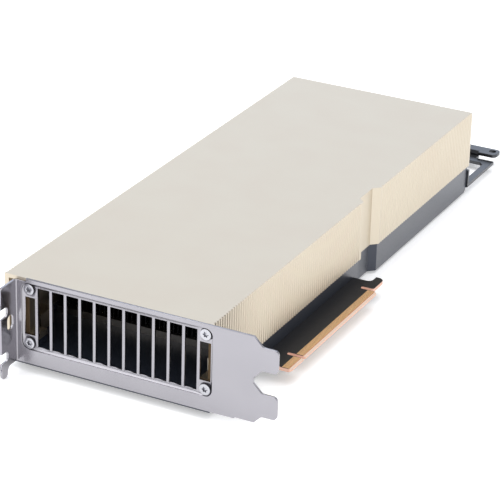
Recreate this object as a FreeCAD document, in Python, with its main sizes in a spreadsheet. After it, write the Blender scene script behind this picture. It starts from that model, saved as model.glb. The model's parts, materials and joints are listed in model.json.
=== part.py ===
import FreeCAD, Part
import math
import os

import Sketcher
from FreeCAD import Vector

# Passive accelerator card, two slots wide, for a server with its own fans.
# In the card's own frame X runs from the bracket's seat face towards the edge contacts,
# Y from the bracket's outer face towards the far end, and Z up from the board's upper face.
# Every piece is then moved by one shift, so that the card stands on Z = 0 about its middle.

SIZES = [
    # The card as a whole
    ("card_length", 267.7, "bracket's outer face to the far end of the cover"),
    ("card_height", 111.15, "side of the cover to the tips of the edge contacts"),
    ("finger_edge", 105.2, "seat face to the tips of the edge contacts"),
    ("overcut", 1.0, "how far a cutting shape runs past a face"),
    ("full_length", 312.0, "bracket's outer face to the end of the extender"),
    ("frame_depth", 6.6, "board's face down to the underside of the frame's skirt"),
    ("back_level", 4.65, "board's face down to the backplate's outer face"),
    ("skirt_start", 10.0, "bracket's outer face to the start of the skirt"),
    ("joint_height", 7.05, "board's face up to the joint between frame and cover"),
    # Bracket
    ("bracket_sheet", 1.0, "sheet thickness"),
    ("bracket_rise", 0.2, "how far the bracket stands above the cover"),
    ("bracket_drop", 3.55, "board's face down to the bracket's lower edge"),
    ("tongue_end", 120.0, "seat face to the ends of the two tongues"),
    ("tongue_reach", 6.8, "length of a tongue past its neck"),
    ("tongue_width", 10.2, "width of a tongue"),
    ("tongue_lift", 0.35, "board's face up to the lower tongue"),
    ("tongue_radius", 1.9, "corners of a tongue"),
    ("slot_pitch", 20.32, "distance between two slots of a computer"),
    ("throat_depth", 4.0, "how far the edge steps back between the tongues"),
    ("toe_step", 0.6, "step in the lower edge near the tongues"),
    ("toe_place", 12.2, "from the necks back to that step"),
    ("fold_radius", 0.6, "inside of the fold"),
    ("fold_relief", 1.3, "how much lower the fold ends than the plate"),
    ("relief_reach", 4.7, "seat face to the end of that relief"),
    ("tab_reach", 11.43, "outer face of the bracket to the end of the tab"),
    ("tab_radius", 1.8, "outer corner of the tab"),
    ("tail_drop", 4.4, "how far the tail hangs below the bracket"),
    ("tail_width", 4.6, "width of the tail"),
    ("tail_radius", 2.05, "corners of the tail"),
    ("tail_fillet", 2.2, "fillet between tail and tab"),
    ("notch_width", 4.42, "screw notches in the tab"),
    ("notch_depth", 4.9, "depth of a screw notch"),
    ("notch_radius", 1.6, "inner corners of a screw notch"),
    ("notch_lift", 1.05, "middle of a screw notch above its tongue's lower edge"),
    ("guide_wide", 4.6, "guide hole in the tab, along Y"),
    ("guide_tall", 6.6, "guide hole in the tab, along Z"),
    ("guide_radius", 2.1, "corners of the guide hole"),
    ("guide_gap", 2.6, "middle of the upper notch down to the guide hole"),
    ("guide_inset", 0.3, "inner end of a notch to the guide hole's outer side"),
    # Stamped panel with the grille
    ("panel_left", 2.6, "seat face to the panel"),
    ("panel_width", 88.4, "width of the panel"),
    ("panel_low", 2.9, "board's face to the panel's lower edge"),
    ("panel_margin", 1.9, "bracket's top edge down to the panel"),
    ("panel_depth", 0.8, "how deep the panel is pressed in"),
    ("panel_radius", 3.2, "corners of the panel"),
    ("grille_margin", 1.55, "panel's edge to the tall windows, along Z"),
    ("window_width", 5.6, "width of a tall window"),
    ("window_bar", 1.23, "bar between two windows"),
    ("screw_zone", 6.4, "end of the panel kept for screws and short windows"),
    ("short_width", 5.0, "width of a short window"),
    ("short_margin", 6.5, "panel's edge to a short window, along Z"),
    ("screw_side", 3.3, "panel's side edge to a screw"),
    ("screw_edge", 2.85, "panel's upper or lower edge to a screw"),
    ("screw_head", 5.0, "head of a bracket screw"),
    ("screw_shank", 2.5, "shank of a bracket screw"),
    ("screw_length", 6.5, "length of a bracket screw"),
    ("screw_play", 0.1, "clearance round every shank"),
    ("drive_radius", 1.25, "tips of the six-lobe recess"),
    ("drive_waist", 0.85, "waist of the six-lobe recess"),
    ("drive_depth", 0.8, "depth of a drive recess"),
    # Cover
    ("cover_width", 96.5, "cover across its flutes"),
    ("cover_top", 34.7, "board's face to the top of the cover"),
    ("cover_wall", 2.5, "side walls of the cover"),
    ("cover_roof", 2.0, "roof of the cover"),
    ("cover_corner", 1.2, "far corner of the cover"),
    ("bay_start", 142.0, "bracket's outer face to the side bay"),
    ("bay_length", 19.1, "length of the side bay"),
    ("bay_depth", 3.0, "depth of the side bay, with ends at 45 degrees"),
    ("flute_pitch", 2.0, "pitch of the flutes"),
    ("flute_width", 1.2, "width of a flute at the surface"),
    ("flute_depth", 0.8, "depth of a flute"),
    ("flute_land", 1.6, "plain land before the first flute"),
    ("ring_depth", 8.0, "thickness of the front ring, along Y"),
    ("ring_near", 11.3, "left side of the cover to the ring's opening"),
    ("ring_far", 2.2, "right side of the cover to the ring's opening"),
    ("ring_corner", 3.9, "how much further its corner blocks reach"),
    ("ring_sill", 2.65, "joint up to the top of the lower corner blocks"),
    ("ring_head", 6.8, "underside of the roof down to the upper corner blocks"),
    ("rebate_play", 0.2, "clearance round the pressed panel"),
    ("latch_width", 2.2, "relief slot beside the fold"),
    ("latch_inset", 2.0, "side of the cover to that slot"),
    ("latch_depth", 2.5, "depth of that slot"),
    ("latch_margin", 1.7, "top of the cover down to that slot"),
    ("lug_length", 10.0, "fixing lugs inside the cover, along Y"),
    ("lug_width", 9.0, "fixing lugs, along X"),
    ("lug_height", 5.0, "fixing lugs above the joint"),
    ("lug_inset", 5.0, "ring or far end to a lug"),
    ("lug_screw", 3.0, "free side of a lug to its screw"),
    # Frame
    ("frame_inset", 0.9, "frame behind the crests of the flutes"),
    ("frame_wall", 2.6, "walls of the frame"),
    ("frame_chamfer", 2.4, "far lower corner of the frame"),
    ("frame_chamfer_rise", 1.8, "how far that chamfer goes up"),
    ("floor_top", 4.4, "board's face to the top of the floor"),
    ("floor_thick", 1.8, "floor of the frame"),
    ("seat_play", 0.2, "clearance of pieces dropped into the frame"),
    ("board_play", 0.4, "clearance round the board"),
    ("post_width", 5.5, "posts and studs of the frame"),
    ("post_play", 0.35, "clearance round a post in the board"),
    ("post_side", 4.6, "inside of the frame's wall to a post"),
    ("post_ends", 22.0, "end wall to the first and last posts"),
    ("post_middle", 72.5, "package to the middle posts, along Y"),
    # Board
    ("board_thick", 1.57, "thickness of the board"),
    ("finger_start", 43.0, "bracket's outer face to the edge contacts"),
    ("short_pads", 11.0, "edge contacts before the key notch"),
    ("long_pads", 71.0, "edge contacts after the key notch"),
    ("pad_pitch", 1.0, "pitch of the edge contacts"),
    ("pad_width", 0.7, "width of an edge contact"),
    ("pad_thick", 0.08, "thickness of an edge contact"),
    ("pad_length", 3.1, "length of an edge contact"),
    ("tab_spare", 0.65, "how much longer a tab is than its contacts"),
    ("key_width", 1.9, "key notch"),
    ("key_depth", 7.9, "depth of the key notch"),
    ("key_radius", 0.85, "inner end of the key notch"),
    ("bevel_length", 1.3, "bevel of the contact edge"),
    ("bevel_drop", 0.45, "bevel of the contact edge, across the board"),
    ("tab_chamfer", 0.9, "corner of a contact tab"),
    ("hook_gap", 2.0, "slot between contacts and hook"),
    ("hook_gap_depth", 8.2, "depth of that slot"),
    ("hook_gap_radius", 0.9, "inner corners of that slot"),
    ("hook_inset", 2.6, "hook behind the contact edge"),
    ("hook_width", 4.2, "width of the hook's finger"),
    ("hook_length", 12.0, "length of the hook"),
    ("hook_finger", 5.5, "how far its finger stands out"),
    ("hook_radius", 2.4, "root of the finger"),
    ("hook_nose", 3.0, "rounded corner of the finger"),
    # Processor package and its cooling
    ("package_x", 41.5, "seat face to the middle of the package"),
    ("package_y", 137.0, "bracket's outer face to the middle of the package"),
    ("package_side", 55.0, "side of the substrate"),
    ("package_thick", 1.8, "substrate with its solder balls"),
    ("die_width", 26.0, "processor die, along X"),
    ("die_length", 31.5, "processor die, along Y"),
    ("die_thick", 0.75, "dies and memory stacks"),
    ("stack_width", 8.0, "memory stack, along X"),
    ("stack_length", 9.8, "memory stack, along Y"),
    ("stack_rows", 3.0, "memory stacks on each side of the die"),
    ("stack_gap", 1.0, "between dies"),
    ("ring_border", 3.2, "stiffening ring round the package"),
    ("ring_inset", 0.3, "package's edge to the ring"),
    ("ring_thick", 0.55, "thickness of that ring"),
    ("pedestal_side", 60.0, "pedestal of the cold plate"),
    ("pedestal_play", 0.6, "clearance round the pedestal"),
    ("plate_thick", 3.0, "cold plate"),
    ("plate_start", 34.0, "bracket's outer face to the cold plate"),
    ("plate_length", 214.0, "length of the cold plate"),
    ("plate_play", 1.0, "frame's wall to the cold plate"),
    ("fin_pitch", 2.2, "pitch of the fins"),
    ("fin_thick", 0.5, "thickness of a fin"),
    ("fin_gap", 0.3, "fins to the cover's roof"),
    ("fin_setback", 2.0, "cold plate's end to the fins"),
    ("spring_side", 80.0, "side of the spring plate"),
    ("spring_window", 44.0, "window of the spring plate"),
    ("spring_thick", 1.0, "thickness of the spring plate"),
    ("spring_corner", 3.0, "corners of the spring plate"),
    ("spring_hole", 36.0, "package's middle to a retention screw"),
    ("spring_shank", 3.0, "shank of a retention screw"),
    ("spring_head", 6.0, "head of a retention screw"),
    ("spring_head_thick", 0.5, "thickness of that head"),
    ("spring_bite", 2.0, "how far that screw goes into the cold plate"),
    # Power parts
    ("choke_width", 8.0, "power choke, along X"),
    ("choke_length", 7.6, "power choke, along Y"),
    ("choke_height", 2.2, "height of a power choke"),
    ("choke_pitch", 9.2, "pitch of the power chokes"),
    ("choke_row", 44.0, "package's middle to a row of chokes"),
    ("stage_width", 5.0, "power stage, along X"),
    ("stage_length", 5.8, "power stage, along Y"),
    ("stage_height", 0.9, "height of a power stage"),
    ("part_gap", 1.4, "between rows of parts on the board"),
    ("capacitor_width", 4.3, "capacitor, along X"),
    ("capacitor_length", 7.3, "capacitor, along Y"),
    ("capacitor_height", 1.9, "height of a capacitor"),
    ("chip_side", 12.0, "controller chip"),
    ("chip_height", 1.1, "height of a controller chip"),
    ("chip_first", 24.0, "package's middle back to the first of them"),
    ("chip_pitch", 18.0, "pitch of the controller chips"),
    ("chip_row", 30.0, "bracket's outer face to the controller chips"),
    ("socket_pitch", 4.2, "pitch of the power socket's cells"),
    ("socket_columns", 4.0, "cells of the power socket, along X"),
    ("socket_rows", 2.0, "cells of the power socket, along Z"),
    ("socket_cell", 3.5, "side of a cell"),
    ("socket_wall", 0.9, "outer wall of the power socket"),
    ("socket_length", 14.5, "length of the power socket"),
    ("socket_back", 4.0, "closed back of the power socket"),
    ("socket_reach", 1.0, "how far the socket stands out behind"),
    ("socket_place", 16.0, "frame's inner wall to the socket"),
    ("pin_side", 1.1, "side of a power pin"),
    ("pin_length", 8.0, "length of a power pin"),
    # Underside
    ("backplate_thick", 1.2, "thickness of the backplate"),
    ("film_thick", 0.2, "thickness of the insulating sheet"),
    ("small_head", 4.0, "head of a small screw"),
    ("small_shank", 2.0, "shank of a small screw"),
    ("small_head_thick", 0.6, "thickness of a small head"),
    ("small_length", 3.5, "length of a small screw's shank"),
    ("stud_side", 21.0, "package's middle to a stud, along X"),
    ("stud_row", 76.0, "package's middle to a stud, along Y"),
    # Extender at the far end
    ("extender_thick", 1.6, "sheet of the extender"),
    ("extender_level", 3.0, "board's face down to the extender's plate"),
    ("extender_side", 90.4, "seat face to the extender's long edge"),
    ("extender_width", 90.0, "width of the extender"),
    ("flange_height", 9.0, "upright flange of the extender"),
    ("band_width", 3.6, "bands between and beside the extender's windows"),
    ("joggle", 2.4, "how far the far bar is raised"),
    ("joggle_run", 1.2, "length of that slope, along Y"),
    ("bar_width", 6.0, "far bar of the extender"),
    ("plate_margin", 4.5, "windows to the far edge of the lower arm"),
    ("arm_width", 8.0, "width of the raised arm, along Y"),
    ("arm_reach", 9.5, "free length of the raised arm, along X"),
    ("arm_gap", 2.0, "gap between the two arms"),
    ("arm_radius", 2.6, "corners of the raised arm"),
    ("arm_hole", 3.4, "hole in the raised arm"),
    ("arm_hole_inset", 3.4, "arm's end to the hole"),
    ("window_count", 3.0, "windows of the extender"),
    ("frame_corner", 2.0, "cut corners of those windows"),
    ("far_chamfer", 9.0, "far corner of the extender"),
    ("far_bite", 2.1, "how far an extender screw goes into the frame"),
    ("far_screws", 3.0, "screws of the extender"),
]

doc = FreeCAD.newDocument("accelerator_card")
sheet = doc.addObject("Spreadsheet::Sheet", "Dim")
for row, (alias, value, meaning) in enumerate(SIZES, start=1):
    sheet.set(f"A{row}", meaning)
    sheet.set(f"B{row}", str(value))
    sheet.setAlias(f"B{row}", alias)
doc.recompute()

# Places that several pieces share, as formulas of the sheet's sizes.
LEFT = "(Dim.finger_edge - Dim.card_height)"
RIGHT = f"({LEFT} + Dim.cover_width)"
FRONT = "Dim.bracket_sheet"
REAR = "Dim.card_length"
BAY_END = "(Dim.bay_start + Dim.bay_length)"
UNDER = "(-Dim.frame_depth)"
BACK_LOW = "(-Dim.back_level)"
FLOOR_LOW = "(Dim.floor_top - Dim.floor_thick)"
ROOF_LOW = "(Dim.cover_top - Dim.cover_roof)"
BRACKET_TOP = "(Dim.cover_top + Dim.bracket_rise)"
FOLD_TOP = f"({BRACKET_TOP} - Dim.fold_relief)"
NECK = "(Dim.tongue_end - Dim.tongue_reach)"
PANEL_RIGHT = "(Dim.panel_left + Dim.panel_width)"
PANEL_TOP = f"({BRACKET_TOP} - Dim.panel_margin)"
PANEL_MIDDLE = "(Dim.panel_left + Dim.panel_width / 2)"
PANEL_BACK = "(Dim.bracket_sheet + Dim.panel_depth)"
WINDOW_PITCH = "(Dim.window_width + Dim.window_bar)"
WINDOWS = f"floor((Dim.panel_width - 2 * Dim.screw_zone + Dim.window_bar) / {WINDOW_PITCH})"
GRILLE_HALF = f"({WINDOWS} * {WINDOW_PITCH} - Dim.window_bar) / 2"
FRAME_LEFT = f"({LEFT} + Dim.frame_inset)"
FRAME_RIGHT = f"({RIGHT} - Dim.frame_inset)"
INSIDE_LEFT = f"({FRAME_LEFT} + Dim.frame_wall)"
INSIDE_RIGHT = f"({FRAME_RIGHT} - Dim.frame_wall)"
BAY_INSIDE = f"({INSIDE_RIGHT} - Dim.bay_depth)"
INSIDE_FRONT = "(Dim.bracket_sheet + Dim.frame_wall)"
INSIDE_REAR = "(Dim.card_length - Dim.frame_wall)"
SHORT_END = "(Dim.finger_start + Dim.short_pads * Dim.pad_pitch + Dim.tab_spare)"
LONG_START = f"({SHORT_END} + Dim.key_width)"
LONG_END = f"({LONG_START} + Dim.long_pads * Dim.pad_pitch + Dim.tab_spare)"
HOOK_START = f"({LONG_END} + Dim.hook_gap)"
HOOK_END = f"({HOOK_START} + Dim.hook_length)"
BOARD_ROOT = f"({HOOK_END} - Dim.hook_finger)"
BOARD_LEFT = f"({INSIDE_LEFT} + Dim.board_play)"
BOARD_RIGHT = f"({BAY_INSIDE} - Dim.board_play)"
BOARD_FRONT = f"({INSIDE_FRONT} + Dim.board_play)"
BOARD_REAR = f"({INSIDE_REAR} - Dim.board_play)"
BACKPLATE_TOP = f"({BACK_LOW} + Dim.backplate_thick)"
DIE_TOP = "(Dim.package_thick + Dim.die_thick)"
PLATE_TOP = "(Dim.floor_top + Dim.plate_thick)"
PLATE_LEFT = f"({INSIDE_LEFT} + Dim.plate_play)"
PLATE_RIGHT = f"({BAY_INSIDE} - Dim.plate_play)"
PLATE_END = "(Dim.plate_start + Dim.plate_length)"
SOCKET_LEFT = f"({INSIDE_LEFT} + Dim.socket_place)"
SOCKET_WIDE = "(Dim.socket_columns * Dim.socket_pitch + 2 * Dim.socket_wall)"
SOCKET_TALL = "(Dim.socket_rows * Dim.socket_pitch + 2 * Dim.socket_wall)"
SOCKET_END = "(Dim.card_length + Dim.socket_reach)"
SOCKET_START = f"({SOCKET_END} - Dim.socket_length)"
EXTENDER_TOP = "(-Dim.extender_level)"
EXTENDER_LEFT = "(Dim.extender_side - Dim.extender_width)"

SHIFT_X = f"-({LEFT} + Dim.tongue_end) / 2"
SHIFT_Y = "-(Dim.full_length - Dim.tab_reach) / 2"
SHIFT_Z = "max(Dim.bracket_drop + Dim.tail_drop; Dim.frame_depth)"

# How far a corner of 45 degrees moves along a wall when that wall is inset by one.
HALF_BEND = math.tan(math.radians(45) / 2)
LOBES = 6
HEAD_SIDES = 8
SCREW_SIDES = 16
NODES = []


def value_of(item, expression):
    """The number that an expression of the sheet stands for."""
    return float(item.evalExpression(expression))


def new_body(name):
    """A body named after its node, moved with the whole card."""
    body = doc.addObject("PartDesign::Body", name)
    body.Label = name
    body.setExpression("Placement.Base.x", SHIFT_X)
    body.setExpression("Placement.Base.y", SHIFT_Y)
    body.setExpression("Placement.Base.z", SHIFT_Z)
    NODES.append(body)
    return body


def new_sketch(body, name, plane, level="0", at=("0", "0")):
    """A sketch on one of the body's own planes, moved to a level along that plane's axis."""
    sketch = body.newObject("Sketcher::SketchObject", f"{body.Label}_{name}")
    support = [item for item in body.Origin.OriginFeatures if item.Role == f"{plane}_Plane"]
    sketch.AttachmentSupport = [(support[0], "")]
    sketch.MapMode = "FlatFace"
    sketch.setExpression("AttachmentOffset.Base.x", at[0])
    sketch.setExpression("AttachmentOffset.Base.y", at[1])
    sketch.setExpression("AttachmentOffset.Base.z", f"-({level})" if plane == "XZ" else level)
    return sketch


def held_point(sketch, shape, point, place):
    """Rules that hold a point of the sketch at a place given by two expressions."""
    return [
        (Sketcher.Constraint(kind, -1, 1, shape, point, value_of(sketch, expression)), expression)
        for kind, expression in zip(("DistanceX", "DistanceY"), place)
    ]


def add_rules(sketch, rules):
    """Add pairs of constraint and expression to a sketch, in one step."""
    indices = sketch.addConstraint([constraint for constraint, expression in rules])
    for index, (constraint, expression) in zip(indices, rules):
        if expression:
            sketch.setExpression(f"Constraints[{index}]", expression)


def round_corner(before, corner, after, radius):
    """Ends and arc of a rounded corner: where it starts, its arc, where it ends, and its turn."""
    inward = (before - corner).normalize()
    outward = (after - corner).normalize()
    half = inward.getAngle(outward) / 2
    reach = radius / math.tan(half)
    start = corner + inward * reach
    end = corner + outward * reach
    centre = corner + (inward + outward).normalize() * (radius / math.sin(half))
    turn = inward.cross(outward).z
    first, last = (start, end) if turn < 0 else (end, start)
    circle = Part.Circle(centre, Vector(0, 0, 1), radius)
    arc = Part.ArcOfCircle(circle, circle.parameter(first), circle.parameter(last))
    return start, arc, end, turn < 0


def outline(sketch, corners):
    """A closed outline through corners (x, y) or (x, y, radius), all given by expressions."""
    places = [Vector(value_of(sketch, c[0]), value_of(sketch, c[1]), 0) for c in corners]
    count = len(corners)
    starts, ends, arcs = list(places), list(places), {}
    for i, corner in enumerate(corners):
        if len(corner) == 3:
            radius = value_of(sketch, corner[2])
            start, arc, end, left = round_corner(
                places[i - 1], places[i], places[(i + 1) % count], radius)
            ends[i], starts[i] = start, end
            arcs[i] = (arc, left)
    lines = [
        sketch.addGeometry(Part.LineSegment(starts[i], ends[(i + 1) % count]))
        for i in range(count)
    ]
    rules = []
    for i, corner in enumerate(corners):
        before, after = lines[i - 1], lines[i]
        if i not in arcs:
            rules.append((Sketcher.Constraint("Coincident", before, 2, after, 1), None))
            rules += held_point(sketch, after, 1, corner[:2])
            continue
        arc, left = arcs[i]
        bend = sketch.addGeometry(arc)
        first, last = (1, 2) if left else (2, 1)
        tip = sketch.addGeometry(Part.Point(places[i]), True)
        radius = Sketcher.Constraint("Radius", bend, value_of(sketch, corner[2]))
        rules += [
            (Sketcher.Constraint("Tangent", before, 2, bend, first), None),
            (Sketcher.Constraint("Tangent", bend, last, after, 1), None),
            (radius, corner[2]),
            (Sketcher.Constraint("PointOnObject", tip, 1, before), None),
            (Sketcher.Constraint("PointOnObject", tip, 1, after), None),
        ]
        rules += held_point(sketch, tip, 1, corner[:2])
    add_rules(sketch, rules)


def box_outline(sketch, left, right, low, high, radius=None):
    """A rectangle between four expressions, with rounded corners if a radius is given."""
    tail = (radius,) if radius else ()
    outline(sketch, [(left, low) + tail, (right, low) + tail,
                     (right, high) + tail, (left, high) + tail])


def circles(sketch, centres, diameter):
    """Circles of one diameter about centres given by expressions."""
    radius = f"({diameter}) / 2"
    number = value_of(sketch, radius)
    rules = []
    for centre in centres:
        place = Vector(value_of(sketch, centre[0]), value_of(sketch, centre[1]), 0)
        index = sketch.addGeometry(Part.Circle(place, Vector(0, 0, 1), number))
        rules += held_point(sketch, index, 3, centre)
        rules.append((Sketcher.Constraint("Radius", index, number), radius))
    add_rules(sketch, rules)


def facets(sketch, centres, diameter, sides=6):
    """Round shapes too small to need a true circle: regular outlines about a diameter."""
    corner = f"({diameter}) / 2 / {math.cos(math.pi / sides):.6f}"
    turns = [math.pi * (2 * side + 1) / sides for side in range(sides)]
    for x, y in centres:
        outline(sketch, [(f"{x} + {corner} * {math.cos(turn):.6f}",
                          f"{y} + {corner} * {math.sin(turn):.6f}") for turn in turns])


def extrude(body, kind, sketch, length, plus=True, taper=None):
    """A Pad or Pocket of a sketch, along its plane's positive or negative axis."""
    feature = body.newObject(f"PartDesign::{kind}", f"{sketch.Name}_{kind.lower()}")
    feature.Profile = sketch
    feature.setExpression("Length", length)
    against = "XZ" in sketch.AttachmentSupport[0][0].Role
    forward = kind == "Pad"
    feature.Reversed = (forward != plus) != against
    if taper is not None:
        feature.TaperAngle = taper
    body.Tip = feature
    sketch.Visibility = False
    return feature


def repeat(body, features, sketch, steps):
    """Repeat features along a sketch's axes: steps hold an axis, a pitch and a count."""
    name = features[-1].Name
    patterns = []
    for axis, pitch, count in steps:
        pattern = body.newObject("PartDesign::LinearPattern", f"{name}_{axis[0].lower()}")
        pattern.Direction = (sketch, [axis])
        pattern.Mode = "Spacing"
        pattern.setExpression("Offset", pitch)
        pattern.setExpression("Occurrences", count)
        patterns.append(pattern)
    if len(patterns) > 1:
        grid = body.newObject("PartDesign::MultiTransform", f"{name}_grid")
        grid.Originals = features
        grid.Transformations = patterns
        body.Tip = grid
        return grid
    patterns[0].Originals = features
    body.Tip = patterns[0]
    return patterns[0]


def block(name, left, right, front, back, low, high):
    """A body that is one block between six expressions."""
    body = new_body(name)
    sketch = new_sketch(body, "plan", "XY", low)
    box_outline(sketch, left, right, front, back)
    extrude(body, "Pad", sketch, f"{high} - ({low})")
    return body


def post_places():
    """Middles of the posts that carry the backplate, two rows of four."""
    columns = [f"{INSIDE_LEFT} + Dim.post_side", f"{BAY_INSIDE} - Dim.post_side"]
    rows = [
        f"{INSIDE_FRONT} + Dim.post_ends",
        "Dim.package_y - Dim.post_middle",
        "Dim.package_y + Dim.post_middle",
        f"{INSIDE_REAR} - Dim.post_ends - Dim.socket_length",
    ]
    return [(x, y) for x in columns for y in rows]


def corner_places(half_x, half_y):
    """Four places about the middle of the processor package."""
    return [(f"Dim.package_x {sx} {half_x}", f"Dim.package_y {sy} {half_y}")
            for sx in "-+" for sy in "-+"]


STUDS = corner_places("Dim.stud_side", "Dim.stud_row")
SPRING_HOLES = corner_places("Dim.spring_hole", "Dim.spring_hole")
BRACKET_SCREWS_LOW = "(Dim.panel_low + Dim.screw_edge)"
BRACKET_SCREWS_HIGH = f"({PANEL_TOP} - Dim.screw_edge)"
BRACKET_SCREWS = [
    (x, z)
    for x in ("Dim.panel_left + Dim.screw_side", f"{PANEL_RIGHT} - Dim.screw_side")
    for z in (BRACKET_SCREWS_LOW, BRACKET_SCREWS_HIGH)
]
LUG_LEFT = f"({LEFT} + Dim.lug_width)"
LUG_RIGHT = f"({RIGHT} - Dim.lug_width)"
LUG_ROWS = [f"({FRONT} + Dim.ring_depth + Dim.lug_inset)",
            f"({REAR} - Dim.lug_inset - Dim.lug_length)"]
LUG_SCREWS = [
    (x, f"{row} + Dim.lug_length / 2")
    for x in (f"{LUG_LEFT} - Dim.lug_screw", f"{LUG_RIGHT} + Dim.lug_screw")
    for row in LUG_ROWS
]
SMALL_CONE = "(Dim.small_head - Dim.small_shank) / 2"
FLANGE_TOP = f"({EXTENDER_TOP} - Dim.extender_thick + Dim.flange_height)"
FLANGE_MIDDLE = f"({EXTENDER_TOP} + {FLANGE_TOP}) / 2"
FLANGE_FIRST = f"({EXTENDER_LEFT} + Dim.far_chamfer)"
FLANGE_PITCH = "((Dim.extender_width - 2 * Dim.far_chamfer) / (Dim.far_screws - 1))"


def bay_outline(sketch, inset, front, back, corner=None):
    """A rectangle in plan with the bay in its right side, inset from the cover's sides."""
    step = f"({inset}) * {HALF_BEND}"
    left, right = f"{LEFT} + ({inset})", f"{RIGHT} - ({inset})"
    far = (left, back, corner) if corner else (left, back)
    outline(sketch, [
        (left, front), (right, front),
        (right, f"Dim.bay_start - {step}"),
        (f"{right} - Dim.bay_depth", f"Dim.bay_start + Dim.bay_depth - {step}"),
        (f"{right} - Dim.bay_depth", f"{BAY_END} - Dim.bay_depth + {step}"),
        (right, f"{BAY_END} + {step}"),
        (right, back), far,
    ])


def panel_outline(sketch, growth):
    """Outline of the pressed panel, grown on every side."""
    box_outline(sketch, f"Dim.panel_left - {growth}", f"{PANEL_RIGHT} + {growth}",
                f"Dim.panel_low - {growth}", f"{PANEL_TOP} + {growth}",
                f"Dim.panel_radius + {growth}")


def cut_box(sketch, left, right, low, high, cut):
    """A rectangle between four expressions, with its corners cut."""
    outline(sketch, [
        (f"{left} + {cut}", low), (f"{right} - {cut}", low),
        (right, f"{low} + {cut}"), (right, f"{high} - {cut}"),
        (f"{right} - {cut}", high), (f"{left} + {cut}", high),
        (left, f"{high} - {cut}"), (left, f"{low} + {cut}"),
    ])


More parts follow.
